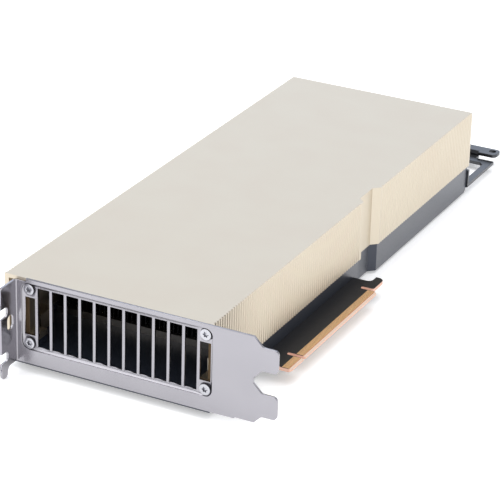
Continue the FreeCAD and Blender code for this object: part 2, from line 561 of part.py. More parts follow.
def io_bracket():
    """Folded sheet bracket: plate with two tongues, fold, tab and pressed grille panel."""
    body = new_body("io_bracket")
    leg = "(2 * Dim.fold_radius)"
    low, toe = "-Dim.bracket_drop", "(Dim.toe_step - Dim.bracket_drop)"
    throat = f"({NECK} - Dim.throat_depth)"
    tongue_top = "(Dim.tongue_lift + Dim.tongue_width)"
    upper_low = "(Dim.tongue_lift + Dim.slot_pitch)"
    upper_top = f"({upper_low} + Dim.tongue_width)"
    plate = new_sketch(body, "plate", "XZ")
    outline(plate, [
        (leg, low), (f"{NECK} - Dim.toe_place", low),
        (f"{NECK} - Dim.toe_place + Dim.toe_step", toe),
        (f"{NECK} - (Dim.tongue_lift - {toe})", toe),
        (NECK, "Dim.tongue_lift", "Dim.tongue_radius"),
        ("Dim.tongue_end", "Dim.tongue_lift", "Dim.tongue_radius"),
        ("Dim.tongue_end", tongue_top, "Dim.tongue_radius"),
        (NECK, tongue_top, "Dim.tongue_radius"),
        (throat, f"{tongue_top} + Dim.throat_depth"),
        (throat, f"{upper_low} - Dim.throat_depth"),
        (NECK, upper_low, "Dim.tongue_radius"),
        ("Dim.tongue_end", upper_low, "Dim.tongue_radius"),
        ("Dim.tongue_end", upper_top, "Dim.tongue_radius"),
        (NECK, upper_top, "Dim.tongue_radius"),
        (f"{NECK} - ({BRACKET_TOP} - {upper_top})", BRACKET_TOP),
        ("Dim.relief_reach", BRACKET_TOP),
        ("Dim.relief_reach", FOLD_TOP), (leg, FOLD_TOP),
    ])
    extrude(body, "Pad", plate, "Dim.bracket_sheet")

    fold = new_sketch(body, "fold", "XY", low)
    outline(fold, [
        (leg, "0"), ("0", "0", "Dim.fold_radius"), ("0", f"-{leg}"),
        ("-Dim.bracket_sheet", f"-{leg}"),
        ("-Dim.bracket_sheet", "Dim.bracket_sheet", "Dim.fold_radius + Dim.bracket_sheet"),
        (leg, "Dim.bracket_sheet"),
    ])
    extrude(body, "Pad", fold, f"{FOLD_TOP} - {low}")

    outer = "(-Dim.tab_reach)"
    inner = "(Dim.notch_depth - Dim.tab_reach)"
    lower_notch = "(Dim.tongue_lift + Dim.notch_lift)"
    upper_notch = f"({lower_notch} + Dim.slot_pitch)"
    half = "Dim.notch_width / 2"
    tail_low = "(-Dim.bracket_drop - Dim.tail_drop)"
    tail_side = f"({outer} + Dim.tail_width)"
    tab = new_sketch(body, "tab", "YZ", "-Dim.bracket_sheet")
    outline(tab, [
        (f"-{leg}", low), (f"-{leg}", FOLD_TOP),
        (outer, FOLD_TOP, "Dim.tab_radius"),
        (outer, f"{upper_notch} + {half}"),
        (inner, f"{upper_notch} + {half}", "Dim.notch_radius"),
        (inner, f"{upper_notch} - {half}", "Dim.notch_radius"),
        (outer, f"{upper_notch} - {half}"), (outer, f"{lower_notch} + {half}"),
        (inner, f"{lower_notch} + {half}", "Dim.notch_radius"),
        (inner, f"{lower_notch} - {half}", "Dim.notch_radius"),
        (outer, f"{lower_notch} - {half}"),
        (outer, tail_low, "Dim.tail_radius"),
        (tail_side, tail_low, "Dim.tail_radius"),
        (tail_side, low, "Dim.tail_fillet"),
    ])
    extrude(body, "Pad", tab, "Dim.bracket_sheet")

    guide = new_sketch(body, "guide", "YZ", "-2 * Dim.bracket_sheet")
    guide_top = f"({upper_notch} - Dim.guide_gap)"
    box_outline(guide, f"{inner} - Dim.guide_inset", f"{inner} - Dim.guide_inset + Dim.guide_wide",
                f"{guide_top} - Dim.guide_tall", guide_top, "Dim.guide_radius")
    extrude(body, "Pocket", guide, "3 * Dim.bracket_sheet")

    back = new_sketch(body, "panel_back", "XZ", "Dim.bracket_sheet")
    panel_outline(back, "Dim.panel_depth")
    extrude(body, "Pad", back, "Dim.panel_depth")
    recess = new_sketch(body, "panel_recess", "XZ")
    panel_outline(recess, "0")
    extrude(body, "Pocket", recess, "Dim.panel_depth")

    first = f"{PANEL_MIDDLE} - {GRILLE_HALF}"
    window = new_sketch(body, "window", "XZ")
    box_outline(window, first, f"{first} + Dim.window_width",
                "Dim.panel_low + Dim.grille_margin", f"{PANEL_TOP} - Dim.grille_margin")
    cut = extrude(body, "Pocket", window, PANEL_BACK)
    repeat(body, [cut], window, [("H_Axis", WINDOW_PITCH, WINDOWS)])
    for name, near in (("left", f"{first} - Dim.window_bar - Dim.short_width"),
                       ("right", f"{PANEL_MIDDLE} + {GRILLE_HALF} + Dim.window_bar")):
        short = new_sketch(body, f"short_{name}", "XZ")
        box_outline(short, near, f"{near} + Dim.short_width",
                    "Dim.panel_low + Dim.short_margin", f"{PANEL_TOP} - Dim.short_margin")
        extrude(body, "Pocket", short, PANEL_BACK)

    holes = new_sketch(body, "holes", "XZ")
    facets(holes, BRACKET_SCREWS, "Dim.screw_shank + 2 * Dim.screw_play")
    extrude(body, "Pocket", holes, PANEL_BACK)
    sinks = new_sketch(body, "sinks", "XZ", "Dim.panel_depth")
    facets(sinks, BRACKET_SCREWS, "Dim.screw_head + 2 * Dim.screw_play", SCREW_SIDES)
    extrude(body, "Pocket", sinks, "Dim.bracket_sheet", taper=-45)


def drive(body, plane, level, centre, plus):
    """Six-lobe recess in the face of a screw's head."""
    star = new_sketch(body, "drive", plane, level, centre)
    corners = []
    for tip in range(2 * LOBES):
        radius = "Dim.drive_radius" if tip % 2 == 0 else "Dim.drive_waist"
        angle = math.pi / LOBES * tip
        corners.append((f"{radius} * {math.cos(angle):.6f}", f"{radius} * {math.sin(angle):.6f}"))
    outline(star, corners)
    return extrude(body, "Pocket", star, "Dim.drive_depth", plus)


def bracket_screws():
    """Four countersunk screws with six-lobe recesses, one modelled and then repeated."""
    body = new_body("bracket_screws")
    centre = BRACKET_SCREWS[0]
    shank = new_sketch(body, "shank", "XZ", PANEL_BACK, centre)
    facets(shank, [("0", "0")], "Dim.screw_shank")
    features = [extrude(body, "Pad", shank, "Dim.screw_length - Dim.bracket_sheet")]
    head = new_sketch(body, "head", "XZ", "Dim.panel_depth", centre)
    facets(head, [("0", "0")], "Dim.screw_head", SCREW_SIDES)
    features.append(extrude(body, "Pad", head, "Dim.bracket_sheet", taper=-45))
    features.append(drive(body, "XZ", "Dim.panel_depth", centre, True))
    across = "Dim.panel_width - 2 * Dim.screw_side"
    up = f"{BRACKET_SCREWS_HIGH} - {BRACKET_SCREWS_LOW}"
    repeat(body, features, head, [("H_Axis", across, "2"), ("V_Axis", up, "2")])


def flutes(body, name, side, start, length):
    """A row of upright grooves in one side of the cover."""
    sketch = new_sketch(body, name, "XY", "Dim.joint_height")
    surface, root = (RIGHT, f"{RIGHT} - Dim.flute_depth")
    if side < 0:
        surface, root = (LEFT, f"{LEFT} + Dim.flute_depth")
    outline(sketch, [
        (root, f"{start} + Dim.flute_width / 2"),
        (surface, start),
        (surface, f"{start} + Dim.flute_width"),
    ])
    cut = extrude(body, "Pocket", sketch, "Dim.cover_top - Dim.joint_height")
    count = f"floor(({length} - Dim.flute_width) / Dim.flute_pitch) + 1"
    row = repeat(body, [cut], sketch, [("V_Axis", "Dim.flute_pitch", count)])
    cut.Refine = row.Refine = False


def cover_shell():
    """Cover: roof, fluted sides with the bay, front ring, fixing lugs; open below and behind."""
    body = new_body("cover_shell")
    solid = new_sketch(body, "plan", "XY", "Dim.joint_height")
    bay_outline(solid, "0", FRONT, REAR, "Dim.cover_corner")
    extrude(body, "Pad", solid, "Dim.cover_top - Dim.joint_height")
    hollow = new_sketch(body, "hollow", "XY", "Dim.joint_height")
    bay_outline(hollow, "Dim.cover_wall", f"{FRONT} + Dim.ring_depth", f"{REAR} + Dim.overcut")
    extrude(body, "Pocket", hollow, f"{ROOF_LOW} - Dim.joint_height")

    ring = new_sketch(body, "ring", "XZ", FRONT)
    near, far = f"{LEFT} + Dim.ring_near", f"{RIGHT} - Dim.ring_far"
    low, sill = "Dim.joint_height", "Dim.joint_height + Dim.ring_sill"
    head = f"{ROOF_LOW} - Dim.ring_head"
    inner_near, inner_far = f"{near} + Dim.ring_corner", f"{far} - Dim.ring_corner"
    outline(ring, [
        (inner_near, low), (inner_far, low), (inner_far, sill), (far, sill),
        (far, head), (inner_far, head), (inner_far, ROOF_LOW), (inner_near, ROOF_LOW),
        (inner_near, head), (near, head), (near, sill), (inner_near, sill),
    ])
    extrude(body, "Pocket", ring, "Dim.ring_depth")

    heads = new_sketch(body, "lug_heads", "XY", "Dim.joint_height")
    feet = new_sketch(body, "lug_feet", "XY", "Dim.floor_top")
    play = "Dim.seat_play"
    for row in LUG_ROWS:
        back = f"{row} + Dim.lug_length"
        wall = "Dim.cover_wall / 2"
        box_outline(heads, f"{LEFT} + {wall}", LUG_LEFT, row, back)
        box_outline(heads, LUG_RIGHT, f"{RIGHT} - {wall}", row, back)
        box_outline(feet, f"{INSIDE_LEFT} + {play}", LUG_LEFT, row, back)
        box_outline(feet, LUG_RIGHT, f"{INSIDE_RIGHT} - {play}", row, back)
    extrude(body, "Pad", heads, "Dim.lug_height")
    extrude(body, "Pad", feet, "Dim.joint_height - Dim.floor_top")

    rebate = new_sketch(body, "rebate", "XZ", FRONT)
    panel_outline(rebate, "(Dim.panel_depth + Dim.rebate_play)")
    extrude(body, "Pocket", rebate, "Dim.panel_depth")
    latch = new_sketch(body, "latch", "XZ", FRONT)
    latch_side = f"{LEFT} + Dim.latch_inset"
    box_outline(latch, latch_side, f"{latch_side} + Dim.latch_width",
                "Dim.joint_height + Dim.ring_sill", "Dim.cover_top - Dim.latch_margin")
    extrude(body, "Pocket", latch, "Dim.latch_depth")

    screws = new_sketch(body, "bracket_holes", "XZ", FRONT)
    facets(screws, BRACKET_SCREWS, "Dim.screw_shank + 2 * Dim.screw_play")
    extrude(body, "Pocket", screws, "Dim.ring_depth")
    lug_holes = new_sketch(body, "lug_holes", "XY", "Dim.floor_top")
    facets(lug_holes, LUG_SCREWS, "Dim.small_shank + 2 * Dim.screw_play")
    extrude(body, "Pocket", lug_holes, "Dim.lug_height")

    land = "Dim.flute_land"
    flutes(body, "flutes_left", -1, f"({FRONT} + {land})", f"({REAR} - {FRONT} - 2 * {land})")
    flutes(body, "flutes_near", 1, f"({FRONT} + {land})",
           f"(Dim.bay_start - {FRONT} - 2 * {land})")
    flutes(body, "flutes_far", 1, f"({BAY_END} + {land})", f"({REAR} - {BAY_END} - 2 * {land})")


def base_frame():
    """Frame: walls round the board, a floor with a window for the pedestal, posts and studs."""
    body = new_body("base_frame")
    solid = new_sketch(body, "plan", "XY", UNDER)
    bay_outline(solid, "Dim.frame_inset", FRONT, REAR)
    extrude(body, "Pad", solid, f"Dim.joint_height - {UNDER}")
    upper = new_sketch(body, "upper", "XY", "Dim.floor_top")
    inset = "(Dim.frame_inset + Dim.frame_wall)"
    bay_outline(upper, inset, f"{FRONT} + Dim.ring_depth", INSIDE_REAR)
    extrude(body, "Pocket", upper, "Dim.joint_height - Dim.floor_top", plus=True)
    mouth = new_sketch(body, "mouth", "XY", "Dim.floor_top")
    box_outline(mouth, f"{LEFT} + Dim.ring_near + Dim.ring_corner",
                f"{RIGHT} - Dim.ring_far - Dim.ring_corner",
                f"{FRONT} - Dim.overcut", f"{FRONT} + Dim.ring_depth + Dim.overcut")
    extrude(body, "Pocket", mouth, "Dim.joint_height - Dim.floor_top", plus=True)
    lower = new_sketch(body, "lower", "XY", UNDER)
    bay_outline(lower, inset, INSIDE_FRONT, INSIDE_REAR)
    extrude(body, "Pocket", lower, f"{FLOOR_LOW} - {UNDER}", plus=True)

    clearance = new_sketch(body, "skirt_front", "XY", UNDER)
    box_outline(clearance, f"{LEFT}", f"{RIGHT}", f"{FRONT} - Dim.overcut", "Dim.skirt_start")
    extrude(body, "Pocket", clearance, f"{BACK_LOW} - {UNDER}", plus=True)

    gate = new_sketch(body, "finger_gate", "XY", BACK_LOW)
    box_outline(gate, f"{BAY_INSIDE}", f"{FRAME_RIGHT} + Dim.overcut",
                "Dim.finger_start - Dim.seat_play", f"{BOARD_ROOT} + Dim.seat_play")
    extrude(body, "Pocket", gate, "Dim.back_level", plus=True)
    pedestal = new_sketch(body, "pedestal_window", "XY", FLOOR_LOW)
    half = "(Dim.pedestal_side / 2 + Dim.pedestal_play)"
    box_outline(pedestal, f"Dim.package_x - {half}", f"Dim.package_x + {half}",
                f"Dim.package_y - {half}", f"Dim.package_y + {half}")
    extrude(body, "Pocket", pedestal, "Dim.floor_thick", plus=True)

    posts = new_sketch(body, "posts", "XY", BACKPLATE_TOP)
    facets(posts, post_places(), "Dim.post_width")
    extrude(body, "Pad", posts, f"{FLOOR_LOW} - {BACKPLATE_TOP}")
    studs = new_sketch(body, "studs", "XY", "0")
    facets(studs, STUDS, "Dim.post_width")
    extrude(body, "Pad", studs, FLOOR_LOW)

    rebate = new_sketch(body, "rebate", "XZ", FRONT)
    panel_outline(rebate, "(Dim.panel_depth + Dim.rebate_play)")
    extrude(body, "Pocket", rebate, "Dim.panel_depth")
    play = "Dim.seat_play"
    socket = new_sketch(body, "socket_gate", "XY", "0")
    box_outline(socket, f"{SOCKET_LEFT} - {play}", f"{SOCKET_LEFT} + {SOCKET_WIDE} + {play}",
                f"{SOCKET_START} - {play}", f"{REAR} + Dim.overcut")
    extrude(body, "Pocket", socket, "Dim.joint_height", plus=True)
    edge = new_sketch(body, "far_chamfer", "YZ", f"{LEFT}")
    outline(edge, [
        (f"{REAR} - Dim.frame_chamfer", UNDER), (REAR, UNDER),
        (REAR, f"{UNDER} + Dim.frame_chamfer_rise"),
    ])
    extrude(body, "Pocket", edge, "Dim.cover_width")

    grip = "Dim.screw_shank + 2 * Dim.screw_play"
    fine = "Dim.small_shank + 2 * Dim.screw_play"
    front = new_sketch(body, "bracket_holes", "XZ", FRONT)
    facets(front, BRACKET_SCREWS, grip)
    extrude(body, "Pocket", front, "Dim.ring_depth")
    through = new_sketch(body, "floor_holes", "XY", FLOOR_LOW)
    facets(through, LUG_SCREWS, fine)
    extrude(body, "Pocket", through, "Dim.floor_thick", plus=True)
    springs = new_sketch(body, "spring_holes", "XY", FLOOR_LOW)
    facets(springs, SPRING_HOLES, "Dim.spring_shank + 2 * Dim.screw_play")
    extrude(body, "Pocket", springs, "Dim.floor_thick", plus=True)
    threads = new_sketch(body, "post_holes", "XY", BACKPLATE_TOP)
    facets(threads, post_places(), fine)
    extrude(body, "Pocket", threads, "Dim.small_length", plus=True)
    stud_holes = new_sketch(body, "stud_holes", "XY", "0")
    facets(stud_holes, STUDS, fine)
    extrude(body, "Pocket", stud_holes, FLOOR_LOW, plus=True)
    far = new_sketch(body, "extender_holes", "XZ", REAR)
    facets(far, [(FLANGE_FIRST, FLANGE_MIDDLE)], fine)
    hole = extrude(body, "Pocket", far, "Dim.frame_wall", plus=False)
    repeat(body, [hole], far, [("H_Axis", FLANGE_PITCH, "Dim.far_screws")])


def backplate():
    """Sheet that closes the underside between the frame's walls, with countersunk holes."""
    body = new_body("backplate")
    sketch = new_sketch(body, "plan", "XY", BACK_LOW)
    play = "Dim.seat_play"
    near, far = "Dim.finger_start", BOARD_ROOT
    outline(sketch, [
        (f"{INSIDE_LEFT} + {play}", f"{INSIDE_FRONT} + {play}"),
        (f"{BAY_INSIDE} - {play}", f"{INSIDE_FRONT} + {play}"),
        (f"{BAY_INSIDE} - {play}", near), (FRAME_RIGHT, near),
        (FRAME_RIGHT, far), (f"{BAY_INSIDE} - {play}", far),
        (f"{BAY_INSIDE} - {play}", f"{INSIDE_REAR} - {play}"),
        (f"{INSIDE_LEFT} + {play}", f"{INSIDE_REAR} - {play}"),
    ])
    extrude(body, "Pad", sketch, "Dim.backplate_thick")
    holes = new_sketch(body, "holes", "XY", BACK_LOW)
    facets(holes, post_places(), "Dim.small_shank + 2 * Dim.screw_play")
    extrude(body, "Pocket", holes, "Dim.backplate_thick", plus=True)
    sinks = new_sketch(body, "sinks", "XY", BACK_LOW)
    facets(sinks, post_places(), "Dim.small_head + 2 * Dim.screw_play", HEAD_SIDES)
    extrude(body, "Pocket", sinks, SMALL_CONE, plus=True, taper=-45)


def circuit_board():
    """Board with the edge connector: two tabs, key notch, bevel and retention hook."""
    body = new_body("circuit_board")
    sketch = new_sketch(body, "plan", "XY", "-Dim.board_thick")
    edge = "Dim.finger_edge"
    key = f"({edge} - Dim.key_depth)"
    gap = f"({edge} - Dim.hook_gap_depth)"
    hook = f"({edge} - Dim.hook_inset)"
    finger = f"({hook} - Dim.hook_width)"
    chamfer = "Dim.tab_chamfer"
    outline(sketch, [
        (BOARD_LEFT, BOARD_FRONT), (BOARD_RIGHT, BOARD_FRONT),
        (BOARD_RIGHT, "Dim.finger_start"),
        (f"{edge} - {chamfer}", "Dim.finger_start"),
        (edge, f"Dim.finger_start + {chamfer}"), (edge, SHORT_END),
        (key, SHORT_END, "Dim.key_radius"), (key, LONG_START, "Dim.key_radius"),
        (edge, LONG_START), (edge, f"{LONG_END} - {chamfer}"),
        (f"{edge} - {chamfer}", LONG_END),
        (gap, LONG_END, "Dim.hook_gap_radius"), (gap, HOOK_START, "Dim.hook_gap_radius"),
        (hook, HOOK_START, chamfer), (hook, HOOK_END, "Dim.hook_nose"),
        (finger, HOOK_END), (finger, BOARD_ROOT, "Dim.hook_radius"),
        (BOARD_RIGHT, BOARD_ROOT),
        (BOARD_RIGHT, BOARD_REAR), (BOARD_LEFT, BOARD_REAR),
    ])
    extrude(body, "Pad", sketch, "Dim.board_thick")
    bevel = new_sketch(body, "bevel", "XZ", "Dim.finger_start - Dim.overcut")
    for face, sign in (("0", "-"), ("-Dim.board_thick", "+")):
        outline(bevel, [
            (f"{edge} - Dim.bevel_length", face), (f"{edge} + Dim.overcut", face),
            (f"{edge} + Dim.overcut", f"{face} {sign} Dim.bevel_drop"),
            (edge, f"{face} {sign} Dim.bevel_drop"),
        ])
    extrude(body, "Pocket", bevel, f"{LONG_END} - Dim.finger_start + Dim.overcut")
    holes = new_sketch(body, "post_holes", "XY", "-Dim.board_thick")
    facets(holes, post_places(), "Dim.post_width + 2 * Dim.post_play")
    extrude(body, "Pocket", holes, "Dim.board_thick", plus=True)
    springs = new_sketch(body, "spring_holes", "XY", "-Dim.board_thick")
    facets(springs, SPRING_HOLES, "Dim.spring_shank + 2 * Dim.screw_play")
    extrude(body, "Pocket", springs, "Dim.board_thick", plus=True)
    studs = new_sketch(body, "stud_holes", "XY", "-Dim.board_thick")
    facets(studs, STUDS, "Dim.small_shank + 2 * Dim.screw_play")
    extrude(body, "Pocket", studs, "Dim.board_thick", plus=True)


def edge_contacts(name, low):
    """The plated contacts of one face, a short row before the key notch and a long one after."""
    body = new_body(name)
    right = "Dim.finger_edge - Dim.bevel_length"
    for part, start, count in (("short", "Dim.finger_start", "Dim.short_pads"),
                               ("long", LONG_START, "Dim.long_pads")):
        sketch = new_sketch(body, part, "XY", low)
        near = f"{start} + (Dim.tab_spare + Dim.pad_pitch - Dim.pad_width) / 2"
        box_outline(sketch, f"{right} - Dim.pad_length", right, near, f"{near} + Dim.pad_width")
        pad = extrude(body, "Pad", sketch, "Dim.pad_thick")
        repeat(body, [pad], sketch, [("V_Axis", "Dim.pad_pitch", count)])


def processor():
    """Package: substrate, die, six memory stacks, stiffening ring and the pad above them."""
    half = "Dim.package_side / 2"
    block("processor_substrate", f"Dim.package_x - {half}", f"Dim.package_x + {half}",
          f"Dim.package_y - {half}", f"Dim.package_y + {half}", "0", "Dim.package_thick")
    block("processor_die", "Dim.package_x - Dim.die_width / 2",
          "Dim.package_x + Dim.die_width / 2", "Dim.package_y - Dim.die_length / 2",
          "Dim.package_y + Dim.die_length / 2", "Dim.package_thick", DIE_TOP)
    reach_x = "(Dim.die_width / 2 + Dim.stack_gap + Dim.stack_width)"
    reach_y = "((Dim.stack_rows * (Dim.stack_length + Dim.stack_gap) - Dim.stack_gap) / 2)"
    stacks = new_body("memory_stacks")
    sketch = new_sketch(stacks, "plan", "XY", "Dim.package_thick")
    left = f"Dim.package_x - {reach_x}"
    first = f"Dim.package_y - {reach_y}"
    box_outline(sketch, left, f"{left} + Dim.stack_width", first, f"{first} + Dim.stack_length")
    pad = extrude(stacks, "Pad", sketch, "Dim.die_thick")
    across = "Dim.die_width + 2 * Dim.stack_gap + Dim.stack_width"
    repeat(stacks, [pad], sketch, [("H_Axis", across, "2"),
                                   ("V_Axis", "Dim.stack_length + Dim.stack_gap", "Dim.stack_rows")])
    ring = new_body("package_ring")
    outer = f"({half} - Dim.ring_inset)"
    inner = f"({outer} - Dim.ring_border)"
    band = new_sketch(ring, "band", "XY", "Dim.package_thick")
    for reach in (outer, inner):
        box_outline(band, f"Dim.package_x - {reach}", f"Dim.package_x + {reach}",
                    f"Dim.package_y - {reach}", f"Dim.package_y + {reach}")
    extrude(ring, "Pad", band, "Dim.ring_thick")
    block("thermal_interface", f"Dim.package_x - {reach_x}", f"Dim.package_x + {reach_x}",
          f"Dim.package_y - {reach_y}", f"Dim.package_y + {reach_y}", DIE_TOP, FLOOR_LOW)


def cooling():
    """Cold plate with its pedestal, and the fins that stand on it along the air's way."""
    plate = new_body("cold_plate")
    foot = new_sketch(plate, "pedestal", "XY", FLOOR_LOW)
    half = "Dim.pedestal_side / 2"
    box_outline(foot, f"Dim.package_x - {half}", f"Dim.package_x + {half}",
                f"Dim.package_y - {half}", f"Dim.package_y + {half}")
    extrude(plate, "Pad", foot, "Dim.floor_thick")
    top = new_sketch(plate, "plate", "XY", "Dim.floor_top")
    box_outline(top, PLATE_LEFT, PLATE_RIGHT, "Dim.plate_start", PLATE_END)
    extrude(plate, "Pad", top, "Dim.plate_thick")
    holes = new_sketch(plate, "holes", "XY", "Dim.floor_top")
    facets(holes, SPRING_HOLES, "Dim.spring_shank + 2 * Dim.screw_play")
    extrude(plate, "Pocket", holes, "Dim.spring_bite + Dim.screw_play", plus=True)
    fins = new_body("heatsink_fins")
    fin = new_sketch(fins, "fin", "XY", PLATE_TOP)
    box_outline(fin, PLATE_LEFT, f"{PLATE_LEFT} + Dim.fin_thick",
                "Dim.plate_start + Dim.fin_setback", f"{PLATE_END} - Dim.fin_setback")
    pad = extrude(fins, "Pad", fin, f"{ROOF_LOW} - Dim.fin_gap - {PLATE_TOP}")
    count = f"floor(({PLATE_RIGHT} - {PLATE_LEFT} - Dim.fin_thick) / Dim.fin_pitch) + 1"
    repeat(fins, [pad], fin, [("H_Axis", "Dim.fin_pitch", count)])


def parts_row(name, row, width, length, height, pitch, low="0"):
    """Two rows of like parts on the board, before and behind the processor package."""
    body = new_body(name)
    count = f"(floor(({BOARD_RIGHT} - {BOARD_LEFT} - 2 * Dim.post_width) / {pitch}))"
    first = f"Dim.package_x - ({count} - 1) * {pitch} / 2 - {width} / 2"
    near = f"Dim.package_y - {row} - {length}"
    sketch = new_sketch(body, "plan", "XY", low)
    box_outline(sketch, first, f"{first} + {width}", near, f"{near} + {length}")
    pad = extrude(body, "Pad", sketch, height)
    repeat(body, [pad], sketch, [("H_Axis", pitch, count), ("V_Axis", f"2 * {row} + {length}", "2")])


def power_parts():
    """Chokes, power stages and capacitors in rows, and the pads that lead their heat away."""
    parts_row("power_chokes", "Dim.choke_row", "Dim.choke_width", "Dim.choke_length",
              "Dim.choke_height", "Dim.choke_pitch")
    parts_row("choke_pads", "Dim.choke_row", "Dim.choke_width", "Dim.choke_length",
              f"{FLOOR_LOW} - Dim.choke_height", "Dim.choke_pitch", "Dim.choke_height")
    stage_row = "(Dim.choke_row + Dim.choke_length + Dim.part_gap)"
    parts_row("power_stages", stage_row, "Dim.stage_width", "Dim.stage_length",
              "Dim.stage_height", "Dim.choke_pitch")
    capacitor_row = f"({stage_row} + Dim.stage_length + Dim.part_gap)"
    parts_row("bulk_capacitors", capacitor_row, "Dim.capacitor_width", "Dim.capacitor_length",
              "Dim.capacitor_height", "Dim.choke_pitch")
    chips = new_body("controller_chips")
    sketch = new_sketch(chips, "plan", "XY", "0")
    left = "Dim.package_x - Dim.chip_first"
    box_outline(sketch, left, f"{left} + Dim.chip_side",
                "Dim.chip_row", "Dim.chip_row + Dim.chip_side")
    pad = extrude(chips, "Pad", sketch, "Dim.chip_height")
    repeat(chips, [pad], sketch, [("H_Axis", "Dim.chip_pitch", "3")])


def power_socket():
    """Eight-way power inlet at the open end, with a pin in every cell."""
    body = new_body("power_socket")
    plan = new_sketch(body, "plan", "XY", "0")
    box_outline(plan, SOCKET_LEFT, f"{SOCKET_LEFT} + {SOCKET_WIDE}", SOCKET_START, SOCKET_END)
    extrude(body, "Pad", plan, SOCKET_TALL)
    inset = "(Dim.socket_wall + (Dim.socket_pitch - Dim.socket_cell) / 2)"
    cell = new_sketch(body, "cell", "XZ", SOCKET_END)
    left = f"{SOCKET_LEFT} + {inset}"
    box_outline(cell, left, f"{left} + Dim.socket_cell", inset, f"{inset} + Dim.socket_cell")
    cut = extrude(body, "Pocket", cell, "Dim.socket_length - Dim.socket_back", plus=False)
    steps = [("H_Axis", "Dim.socket_pitch", "Dim.socket_columns"),
             ("V_Axis", "Dim.socket_pitch", "Dim.socket_rows")]
    repeat(body, [cut], cell, steps)
    pins = new_body("power_pins")
    middle = "(Dim.socket_wall + Dim.socket_pitch / 2 - Dim.pin_side / 2)"
    pin = new_sketch(pins, "pin", "XZ", f"{SOCKET_START} + Dim.socket_back")
    box_outline(pin, f"{SOCKET_LEFT} + {middle}", f"{SOCKET_LEFT} + {middle} + Dim.pin_side",
                middle, f"{middle} + Dim.pin_side")
    pad = extrude(pins, "Pad", pin, "Dim.pin_length")
    repeat(pins, [pad], pin, steps)


def underside():
    """Insulating sheet and spring plate, with the screws of board, backplate and cooler."""
    film = new_body("insulating_sheet")
    plan = new_sketch(film, "plan", "XY", BACKPLATE_TOP)
    box_outline(plan, BOARD_LEFT, BOARD_RIGHT, BOARD_FRONT, BOARD_REAR)
    facets(plan, post_places(), "Dim.post_width + 2 * Dim.post_play")
    extrude(film, "Pad", plan, "Dim.film_thick")

    spring = new_body("retention_plate")
    level = "(-Dim.board_thick - Dim.spring_thick)"
    band = new_sketch(spring, "band", "XY", level)
    for side in ("Dim.spring_side / 2", "Dim.spring_window / 2"):
        cut_box(band, f"Dim.package_x - {side}", f"Dim.package_x + {side}",
                f"Dim.package_y - {side}", f"Dim.package_y + {side}", "Dim.spring_corner")
    facets(band, SPRING_HOLES, "Dim.spring_shank + 2 * Dim.screw_play")
    extrude(spring, "Pad", band, "Dim.spring_thick")

    screws = new_body("retention_screws")
    heads = new_sketch(screws, "heads", "XY", f"{level} - Dim.spring_head_thick")
    facets(heads, SPRING_HOLES, "Dim.spring_head")
    extrude(screws, "Pad", heads, "Dim.spring_head_thick")
    shanks = new_sketch(screws, "shanks", "XY", level)
    facets(shanks, SPRING_HOLES, "Dim.spring_shank")
    extrude(screws, "Pad", shanks, f"Dim.floor_top + Dim.spring_bite - {level}")

    small_screws("board_screws", STUDS, "-Dim.board_thick", "Dim.board_thick + Dim.small_length / 2")
    small_screws("cover_screws", LUG_SCREWS, FLOOR_LOW, "Dim.floor_thick + Dim.small_length")
    plate = new_body("backplate_screws")
    sinks = new_sketch(plate, "heads", "XY", BACK_LOW)
    facets(sinks, post_places(), "Dim.small_head", HEAD_SIDES)
    extrude(plate, "Pad", sinks, SMALL_CONE, taper=-45)
    shank = new_sketch(plate, "shanks", "XY", BACK_LOW)
    facets(shank, post_places(), "Dim.small_shank")
    extrude(plate, "Pad", shank, "Dim.backplate_thick + Dim.small_length")


def small_screws(name, places, face, length):
    """Flat-headed screws that come from below, with their heads against a face."""
    body = new_body(name)
    heads = new_sketch(body, "heads", "XY", f"{face} - Dim.small_head_thick")
    facets(heads, places, "Dim.small_head")
    extrude(body, "Pad", heads, "Dim.small_head_thick")
    shanks = new_sketch(body, "shanks", "XY", face)
    facets(shanks, places, "Dim.small_shank")
    extrude(body, "Pad", shanks, length)


